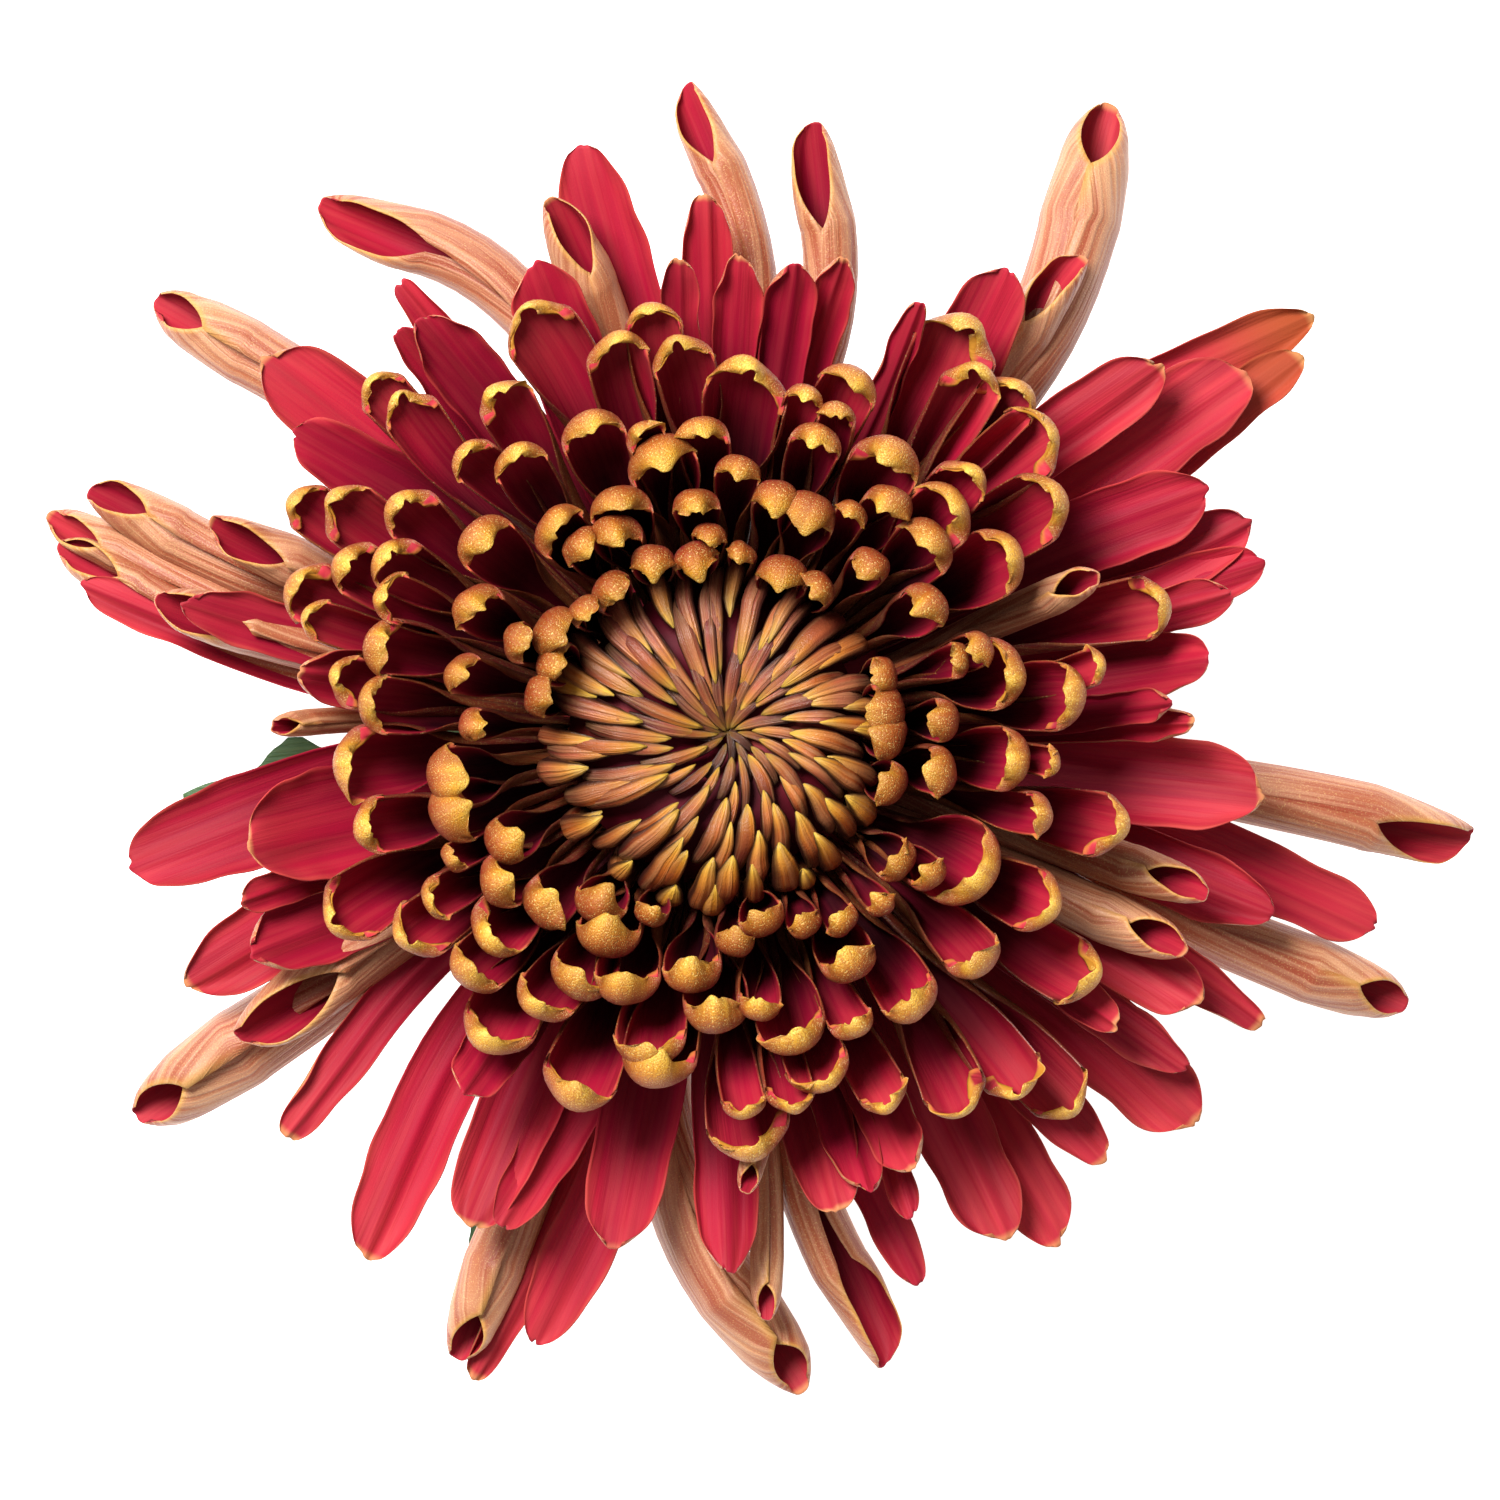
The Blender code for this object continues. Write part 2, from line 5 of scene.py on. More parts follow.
import bpy
import numpy as np
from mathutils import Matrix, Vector


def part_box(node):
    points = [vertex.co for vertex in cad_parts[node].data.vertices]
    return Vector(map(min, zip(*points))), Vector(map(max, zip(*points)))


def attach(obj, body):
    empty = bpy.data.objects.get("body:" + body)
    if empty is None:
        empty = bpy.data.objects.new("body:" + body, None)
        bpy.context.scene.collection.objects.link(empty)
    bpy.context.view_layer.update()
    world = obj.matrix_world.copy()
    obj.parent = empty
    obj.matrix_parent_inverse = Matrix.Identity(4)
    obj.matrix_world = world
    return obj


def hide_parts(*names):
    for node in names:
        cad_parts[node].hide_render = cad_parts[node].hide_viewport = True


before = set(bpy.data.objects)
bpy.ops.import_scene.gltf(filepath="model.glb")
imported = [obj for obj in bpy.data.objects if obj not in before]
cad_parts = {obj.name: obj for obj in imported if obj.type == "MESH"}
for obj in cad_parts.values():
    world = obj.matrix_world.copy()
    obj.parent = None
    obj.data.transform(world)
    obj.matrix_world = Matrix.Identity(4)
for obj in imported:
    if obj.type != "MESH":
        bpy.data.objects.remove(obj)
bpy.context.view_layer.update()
mm = 0.001

# the bloom's middle, from the stem: at the top, its skin is this far from the bloom's axis on the -X side
stemSkin = 2.47
bloomHeight = 38.0
stemLow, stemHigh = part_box("stem")
axisX = stemLow[0] / mm + stemSkin
axisY = (stemLow[1] + stemHigh[1]) / 2 / mm
bloomCentre = np.array([axisX, axisY, bloomHeight])
up = np.array([0, 0, 1.0])

# reach, height of crest or tip, slope at the end, latitude of the root, slope at the root
rayFamily = np.array([
    (18.8, 26.0, 88, 27, 12), (22, 27.5, 85, 25, 13), (27, 28.4, 77, 20, 14),
    (32, 28.0, 68, 14, 15), (37, 26.0, 58, 9, 15), (42, 22.5, 46, 3, 14), (47, 18.0, 34, -2, 13),
    (52, 12.5, 24, -8, 12), (57, 7.0, 14, -14, 10), (62, 1.5, 4, -21, 8), (67, -3.0, -5, -27, 7),
    (72, -7.0, -12, -32, 6), (80, -12.0, -18, -38, 5)])

# place along the floret (0 to 1 body, 1 to 2 tip), share of the full width, degrees that the blade is rolled
outlines = {
    "hooked": np.array([
        (0, 0, 320), (.3, .12, 330), (.55, .34, 320), (.7, .64, 280), (.82, .98, 226), (.92, 1.1, 202),
        (1, 1.12, 190), (1.3, 1.08, 178), (1.6, .94, 168), (1.85, .7, 154), (1.95, .48, 142),
        (2, .3, 130)]),
    "open": np.array([
        (0, 0, 260), (.2, .2, 210), (.36, .42, 160), (.56, .78, 124), (.8, 1, 100), (1.2, 1.02, 88),
        (1.5, .96, 82), (1.7, .82, 78), (1.84, .62, 74), (1.93, .42, 70), (1.98, .24, 66), (2, .12, 64)]),
    "quilled": np.array([
        (0, 0, 372), (.5, .55, 372), (.8, .88, 372), (1.1, 1.0, 372), (1.3, .94, 372),
        (1.6, .82, 372), (1.8, .64, 372), (1.93, .4, 372), (2, .12, 372)])}

# bearing and reach of the cap's outer edge, width
hookedRays = [
    (18, 17.5, 3.5), (3.3, 24, 3.6), (8.6, 17, 4.5), (358.6, 17.5, 4.5), (351.4, 24, 4.4),
    (343.2, 19.5, 4), (325, 23.5, 4), (325.6, 26.5, 3.5), (331, 31, 7), (313.5, 24.5, 2.5),
    (305, 23.5, 3.2), (296, 22, 3), (285.5, 20.5, 4), (275, 22, 3.5), (266.5, 25.5, 5),
    (250.4, 20, 3), (237.2, 22.2, 4.5), (244.3, 24.5, 5.5), (224.2, 25.5, 5), (214, 27.5, 4.3),
    (207.9, 25, 4.5), (198.2, 29, 5), (190.3, 28.5, 5), (177.3, 25, 2.8), (169, 19, 3.8),
    (165.3, 26.8, 3.8), (156.7, 22.5, 3.5), (146.9, 20.5, 5), (156.1, 18.5, 4), (150.5, 28.2, 4.2),
    (139.8, 31.5, 5), (127.9, 17.8, 3.8), (137.4, 16.2, 3), (128.9, 27, 4.5), (125.8, 24, 4),
    (114.5, 23.5, 4.5), (111.5, 26, 5.2), (108.8, 19.5, 3.8), (97.5, 18.5, 4), (94.7, 24, 4),
    (90.6, 20.5, 3), (80.4, 17, 2.6), (67.6, 18, 4.5), (53.2, 16.5, 3.5), (76.4, 25.5, 4),
    (66, 25.5, 5), (57.6, 26.5, 3), (47.6, 24, 3.5), (53, 30, 4), (41.8, 30, 5), (32.7, 26, 4.5),
    (16, 26, 3), (84.5, 27.3, 3.5), (92.2, 31, 4.2), (104, 31.2, 3.2), (102.5, 29.6, 5.5),
    (112, 34, 5), (70.8, 32, 4), (58.2, 34, 5.5), (74.7, 35.3, 3), (69.1, 34.7, 3),
    (42.7, 33.5, 5.5), (30.8, 35, 5.5), (46, 36.5, 4.5), (11.5, 31, 5.5), (18.4, 28.5, 3),
    (4.9, 36.5, 5.5), (10.1, 39, 3), (354.8, 31, 5), (354.9, 34, 2.5), (346.8, 34, 3.5),
    (332.6, 38, 5), (318, 35.5, 4.5), (306.6, 34.5, 5), (299.9, 28, 4.5), (295.2, 33, 3.5),
    (285.5, 32.5, 5.5), (278.3, 28.5, 3.5), (270.3, 29.5, 5), (287.9, 36.8, 5), (281.4, 38, 3.8),
    (274.8, 38, 3.5), (259.4, 33.3, 5.5), (260.8, 35.3, 6), (252.3, 28, 5), (240.9, 29.5, 5),
    (237.2, 33, 5), (221.9, 31, 5), (224.7, 35, 5), (214.9, 37, 5), (210, 33, 3.5),
    (206.3, 29.3, 2.5), (194.6, 36.5, 4.5), (184.2, 37.5, 6), (175.4, 35, 4.5), (172.2, 38, 4),
    (165.3, 35.5, 4.5), (157.4, 36, 4), (151, 37.5, 4.5), (125.4, 34.5, 4.5), (131.9, 37.5, 4),
    (143.2, 39, 4.5), (83.6, 36.7, 6.5), (68.1, 38.5, 5), (95.7, 39, 5), (104.9, 40.5, 5),
    (98.4, 42.8, 4.5), (122.5, 40.5, 4.5), (114.3, 46, 6), (134.2, 49, 4), (132.8, 45.5, 4.5),
    (148.9, 44.5, 5), (150.7, 48, 4), (154.7, 41, 4.5), (159.8, 44.5, 5), (164, 42, 3.5),
    (206.5, 42.5, 5.5), (234.5, 38.5, 6), (248, 39.5, 6), (275.9, 42, 6.5), (295.5, 41, 4),
    (303.8, 45, 5), (310.4, 47, 5), (313.8, 52, 5.5), (326.9, 45, 5.5), (346, 41.5, 5),
    (34, 41.5, 6), (16.3, 46.7, 5), (54.5, 44.5, 5), (49.1, 46, 5), (57.9, 48, 7), (41.5, 45, 6)]

# bearing and reach of the tip, width, then how far the root's bearing and the tip's heading turn from that;
# the last two fill gaps between their neighbours
openRays = [
    (353.6, 55.3, 9, 0, 0), (8.9, 49.6, 7, 0, 0), (17.5, 57.6, 6, 0, 0), (21.8, 57.8, 7, 2, 4),
    (26.3, 55, 8, 3, -6), (34.2, 64.6, 9.5, 0, 0), (32.8, 70.5, 6, -2, 4), (35, 73.8, 6, 3, -10),
    (39.6, 58, 7, 3, -5), (57.8, 54.8, 8, -3, 6), (64.4, 47.3, 3, 2, 4), (15.2, 53.5, 5, 0, 0),
    (3.8, 45.4, 3.5, 0, 4), (1.2, 47.6, 3.5, 0, 0), (74.8, 48.9, 4.5, 0, -3),
    (80.4, 47.2, 5.5, 0, 0), (87, 47.5, 5, 0, 0), (90.9, 53.8, 5.5, 0, 0), (94.3, 47.2, 4, 0, -4),
    (102.7, 60.5, 8, -3, 2), (111.3, 50.2, 8, 0, 0), (125.4, 50.6, 7, -3, 4), (125, 55, 4, -3, 4),
    (128, 51, 4, -3, 0), (140.2, 59, 9, -2, 3), (144.5, 51.6, 7, -3, 6), (166, 54.8, 5.5, 3, -3),
    (166.8, 65.6, 4.5, 7, -9), (171.6, 41.5, 6, 3, 0), (193, 60.3, 9.5, -7, 8),
    (193.4, 47.6, 11, 0, 0), (199.6, 50, 4, 0, 0), (205.4, 51.3, 8, 0, -4), (205.6, 58.7, 8, 2, 6),
    (223.2, 59, 5, -4, 10), (235.1, 43.5, 6.5, 0, 0), (236.4, 63.4, 7.5, -6, 10),
    (243.6, 55, 8, -2, 4), (246.6, 53.6, 6, 4, -8), (253.5, 64, 7, 4, -9), (249.3, 69.6, 4.5, 3, -6),
    (258.8, 52.4, 8, 0, 0), (271.6, 53.8, 6.5, 0, 0), (284.5, 49, 7.5, 0, 0),
    (290.1, 59, 4.5, 2, 6), (292, 52.1, 3.5, 2, -4), (299.8, 58.6, 8, 2, -4), (304, 62, 7, 0, -4),
    (312.4, 58, 6, -2, 0), (320.8, 62.4, 9, 2, -4), (324.6, 58, 5, 0, 0), (323.9, 49.5, 4.5, 0, 0),
    (330.9, 55.6, 7, 2, -3), (331.8, 62.2, 4.5, 3, -8), (342, 58.8, 7, 2, -4),
    (343.5, 69.4, 7, 4, -8), (294.5, 47.5, 6, 0, 0), (288.5, 48, 5.5, 0, 0)]
# the same five, then the place where the tube opens and the side that its mouth turns to
quilledRays = [
    (352.6, 77.4, 6.5, 3, -4, 1.05, -40), (52, 60.4, 5, 0, 0, 1.15, 30), (57.9, 75.2, 8, -8, 17, 1.5, 5),
    (80.6, 62.2, 5.5, 2, 16, 1.0, 28), (92.4, 65.5, 5, -8, 20, 1.15, 24),
    (107.6, 55.8, 5.5, 0, 6, 1.3, -25), (126.6, 66.8, 6.5, -10, 32, .9, 22),
    (142.4, 71.7, 6.5, -5, 8, 1.5, 0), (157, 54.7, 5, 2, -4, 1.2, 20), (159, 67.7, 5.5, 3, -6, 1.45, -15),
    (161.7, 70.9, 4.5, 9, -10, 1.3, 15), (164.2, 69, 5, 11, -13, 1.3, -10),
    (166.2, 57.5, 5.5, 2, -4, 1.1, 15), (179.2, 43.8, 2.2, -2, 6, 1.6, 0), (212.4, 56.8, 7, -1, 2, 1.1, 15),
    (213.6, 70.2, 8, 0, 0, 1.6, 0), (247.4, 68.3, 6, 0, 0, 1.6, 10), (277.6, 67, 7.5, -17, 28, 1.65, 10),
    (284.7, 66, 6, -3, 10, .8, 45), (275, 59, 3, 2, -6, 1.6, 0), (273.7, 45.6, 2.2, 2, -20, 1.6, 0),
    (334.8, 51.7, 5, 0, 0, 1.5, 10), (341.6, 51.7, 4.5, 0, -2, 1.4, 10), (338.4, 75.2, 6.5, 0, 0, 1.55, 0),
    (22, 41, 3.5, -2, 0, 1.4, 10)]

# how each kind of floret is finished: mesh density, blade, folds, margin and end, and how much they differ
rayLooks = {
    "hooked": dict(across=16, along=36, thick=.36, folds=2.0, foldDepth=.12, ripple=.22, notches=3,
                   notchDepth=.5, tipRound=.8, curlSpread=20, rollSpread=38, headingSpread=15,
                   widthNear=1.04, widthFar=1.16, farFrom=27),
    "open": dict(across=22, along=36, thick=.34, folds=1.6, foldDepth=.42, ripple=.26, notches=1,
                 notchDepth=.5, tipRound=.7, curlSpread=10, rollSpread=18, bluntFrom=1.5, bluntSpread=.8),
    "quilled": dict(across=28, along=44, thick=.36, folds=3.0, foldDepth=.13, ripple=.1, notches=1,
                    notchDepth=.4, tipRound=.8, curlSpread=5, rollSpread=4, lap=.09)}
# each kind's third tone, which tells the materials what they are on
formTones = {"hooked": 0, "quilled": .5, "open": 1}
# where and how wide florets leave the core, how strongly they bow, and each kind's length and turn past that
rayPath = dict(coreRadius=8.5, rootWidth=1.3, pull=.36, hookRest=.8, quillTurn=24.0, quillPerWidth=1.5,
               quillRest=3.0, openTurnNear=10.0, openTurnFar=-5.0, openFarFrom=55, openShare=.24)
# reach up to which a hook has this radius, as a share of its width, and this slope at its end
hookBends = ((26, .47, 207), (31, .43, 192), (36, .37, 178), (42, .32, 166), (90, .28, 150))
# between these, chance picks each floret's lumps, folds, waves and ragged end
rayChance = dict(lumpHeight=(.18, .46), lumpTurns=(1.1, 1.7), foldShare=(.5, 1.3), slowWave=(5, 9),
                 fastWave=(12, 17), roundShare=(.3, 1.3), roundPlace=(-.35, .35), notchShare=(.2, 1),
                 notchPlace=(-.7, .7), notchWidth=(.14, .4), wrapShare=(0.92, 1.06))
raySeed = 7
innerReach = 30  # hooks that reach less far than this make the inner piece


# paths that the rays follow, as in the solids
def levelWay(angle):
    return np.array([math.cos(math.radians(angle)), math.sin(math.radians(angle)), 0.0])


def climbWay(slope, flat):
    return flat * math.cos(math.radians(slope)) + up * math.sin(math.radians(slope))


def unit(rows):
    return rows / np.maximum(np.linalg.norm(rows, axis=-1, keepdims=True), 1e-9)


def lengthAlong(points):
    steps = np.linalg.norm(np.diff(points, axis=0), axis=1)
    return np.concatenate([[0], np.cumsum(steps)])


def smoothKeys(table, places):
    # keys joined by straight lines, then softened so that no ring of the mesh shows a corner
    fine = np.linspace(0, 2, 201)
    window = np.hanning(17)
    out = []
    for column in (1, 2):
        line = np.interp(fine, table[:, 0], table[:, column])
        soft = np.convolve(np.pad(line, 8, mode="edge"), window / window.sum(), "valid")
        hold = np.clip((2 - fine) / 0.12, 0, 1)
        out.append(np.interp(places, fine, soft * hold + line * (1 - hold)))
    return out


def raySpine(form, bearing, reach, width, rootTurn, tipTurn, curl, places):
    reach = max(reach, rayFamily[0][0])
    crest, endSlope, latitude, rootSlope = (np.interp(reach, rayFamily[:, 0], rayFamily[:, c])
                                            for c in (1, 2, 3, 4))
    if form == "hooked":
        bend, final = next((bend, slope) for limit, bend, slope in hookBends if reach < limit)
        final += curl
        length = bend * width * math.radians(final - endSlope) + rayPath["hookRest"]
    elif form == "quilled":
        final = endSlope + rayPath["quillTurn"] + curl
        length = rayPath["quillPerWidth"] * width + rayPath["quillRest"]
    else:
        openTurn = rayPath["openTurnNear"] if reach < rayPath["openFarFrom"] else rayPath["openTurnFar"]
        final = endSlope + openTurn + curl
        length = rayPath["openShare"] * reach
    sweep = math.radians(final - endSlope)
    if abs(sweep) < 0.02:  # a nearly straight tip still needs a radius
        sweep = 0.02
    radius = length / sweep
    first = math.radians(endSlope)
    last = first + sweep
    rootFlat, tipFlat = levelWay(bearing + rootTurn), levelWay(bearing + tipTurn)
    if form == "hooked":
        stretch = radius * (1 - math.sin(first))
        climb = radius * (math.cos(first) - math.cos(min(last, math.pi)))
    else:
        stretch = radius * (math.sin(last) - math.sin(first))
        climb = radius * (math.cos(first) - math.cos(last))
    foot = levelWay(bearing) * reach + up * (crest - climb) - tipFlat * stretch
    root = climbWay(latitude, rootFlat) * rayPath["coreRadius"]
    pull = np.linalg.norm(foot - root) * rayPath["pull"]
    near, far = root + climbWay(rootSlope, rootFlat) * pull, foot - climbWay(endSlope, tipFlat) * pull
    place = places[:, None]
    t = np.clip(place, 0, 1)
    s = 1 - t
    body = root * s ** 3 + near * 3 * t * s * s + far * 3 * t * t * s + foot * t ** 3
    bodyWay = unit((near - root) * s * s + (far - near) * 2 * t * s + (foot - far) * t * t)
    angle = first + sweep * np.clip(place - 1, 0, 1)
    tip = foot + tipFlat * radius * (np.sin(angle) - math.sin(first))
    tip = tip + up * radius * (math.cos(first) - np.cos(angle))
    isTip = place > 1
    point = np.where(isTip, tip, body)
    way = np.where(isTip, tipFlat * np.cos(angle) + up * np.sin(angle), bodyWay)
    flat = np.where(isTip, tipFlat, unit(rootFlat * s + tipFlat * t))
    normal = flat * -way[:, 2:3] + up * (way * flat).sum(1, keepdims=True)
    across = unit(np.cross(way, normal))
    return point, across, unit(np.cross(across, way)), way


def bladeRelief(form, places, u, width, half, rng):
    # height of folds, lumps and waving margins on the rolled blade
    look = rayLooks[form]
    circle = 6.3
    grow = np.clip(places / 0.6, 0, 1)[:, None] * (half * 2 / width)[:, None]
    lump = np.zeros((len(places), len(u)))
    if form == "hooked":  # corners on the turned-over end in place of folds
        grow = grow * np.clip(1.8 - places, 0.1, 1)[:, None]
        lump = rng.uniform(*rayChance["lumpHeight"]) * np.clip((places - 1.15) / 0.5, 0, 1)[:, None]
        bumps = np.cos(math.pi * rng.uniform(*rayChance["lumpTurns"]) * u + rng.uniform(-1, 1))
        lump = lump * bumps[None, :] * width / 5
    fold = np.cos(math.pi * look["folds"] * u + rng.uniform(-1, 1))
    fold = fold + 0.2 * np.cos(math.pi * 2.3 * look["folds"] * u + rng.uniform(-2, 2))
    lift = look["foldDepth"] * rng.uniform(*rayChance["foldShare"]) * grow * fold[None, :] - lump
    wave = np.sin(places * rng.uniform(*rayChance["slowWave"]) + rng.uniform(0, circle))
    wave = wave + 0.6 * np.sin(places * rng.uniform(*rayChance["fastWave"]) + rng.uniform(0, circle))
    margin = (np.abs(u) ** 3)[None, :]
    return lift + look["ripple"] * (wave * np.clip(places - .5, 0, 1))[:, None] * margin


def raggedEnd(look, places, u, rng):
    # how far the end is drawn back across the blade; this fades within the last rows
    notch = look["tipRound"] * rng.uniform(*rayChance["roundShare"])
    notch = notch * (u - rng.uniform(*rayChance["roundPlace"])) ** 2
    for _ in range(look["notches"]):
        depth = look["notchDepth"] * rng.uniform(*rayChance["notchShare"])
        aside = u - rng.uniform(*rayChance["notchPlace"])
        notch = notch + depth * np.exp(-(aside / rng.uniform(*rayChance["notchWidth"])) ** 2)
    near = np.clip((places - 1.72) / 0.28, 0, 1) ** 1.5
    return notch[None, :] * near[:, None]


def rayFloret(form, row, rng):
    # one floret: an inner and an outer skin, joined along both edges and at both ends
    look = rayLooks[form]
    bearing, reach, width = row[:3]
    if form == "hooked":
        width *= look["widthNear"] if reach < look["farFrom"] else look["widthFar"]
        rootTurn, tipTurn = 0.0, rng.uniform(-1, 1) * look["headingSpread"]
    else:
        rootTurn, tipTurn = row[3:5]
    s = np.linspace(0, 1, look["along"] + 1)
    places = 2 * (0.4 * s + 0.6 * (1 - (1 - s) ** 1.6))  # closer rings towards the tip
    share, wrap = smoothKeys(outlines[form], places)
    if form == "open":  # some ends are blunt, some pointed
        endPart = np.clip((places - look["bluntFrom"]) / (2 - look["bluntFrom"]), 0, 1)
        blunt = 0.97 * np.sqrt(1 - endPart ** 2)
        bluntness = rng.uniform(0, look["bluntSpread"])
        share = np.where(places > look["bluntFrom"], share + bluntness * (blunt - share), share)
    point, across, normal, way = raySpine(form, bearing, reach, width, rootTurn, tipTurn,
                                          rng.uniform(-1, 1) * look["curlSpread"], places)
    rollTurn = rng.uniform(-1, 1) * look["rollSpread"]
    lap = np.zeros(len(places))
    if form == "quilled":
        # one margin laps over the other until the mouth, which opens like a nib
        mouth, mouthTurn = row[5:]
        rollTurn = rollTurn + mouthTurn
        gape = np.clip((places - mouth) / (2 - mouth), 0, 1)
        wrap = wrap - (196 - 30 * mouth) * gape ** 0.75
        lap = look["lap"] * np.clip((wrap - 300) / 60, 0, 1)
    else:
        wrap = np.minimum(wrap * rng.uniform(*rayChance["wrapShare"]), 350)
    roll = math.radians(rollTurn) * (places / 2)[:, None] ** 2
    across, normal = (across * np.cos(roll) + normal * np.sin(roll),
                      normal * np.cos(roll) - across * np.sin(roll))
    half = (rayPath["rootWidth"] + (width - rayPath["rootWidth"]) * share) / 2
    turn = np.radians(wrap)
    bend = half / np.sin(np.minimum(turn, math.pi) / 2)
    u = np.linspace(-1, 1, look["across"] + 1)
    theta = u[None, :] * turn[:, None] / 2
    bend = bend[:, None] * (1 + lap[:, None] * u[None, :])
    lift = bladeRelief(form, places, u, width, half, rng)
    face = np.stack([-np.sin(theta), np.cos(theta)], axis=-1)
    middle = (point[:, None, :]
              + across[:, None, :] * (bend * np.sin(theta) + face[..., 0] * lift)[..., None]
              + normal[:, None, :] * (bend * (1 - np.cos(theta)) + face[..., 1] * lift)[..., None])
    middle = middle - way[:, None, :] * raggedEnd(look, places, u, rng)[..., None]
    skin = unit(face[..., 0:1] * across[:, None, :] + face[..., 1:2] * normal[:, None, :])
    thick = look["thick"] / 2 * (1 - 0.7 * np.abs(u) ** 6)[None, :]
    thick = thick * (1 - 0.65 * np.clip((places - 1.8) / 0.2, 0, 1))[:, None]
    return dict(inner=middle + skin * thick[..., None], outer=middle - skin * thick[..., None],
                u=u, v=places / 2, fibreX=u[None, :] * half[:, None] * np.maximum(turn[:, None] / 2, 1),
                fibreY=lengthAlong(point), tone=(rng.random(), reach / 80, formTones[form]),
                rimMark=0 if form == "open" else 1)


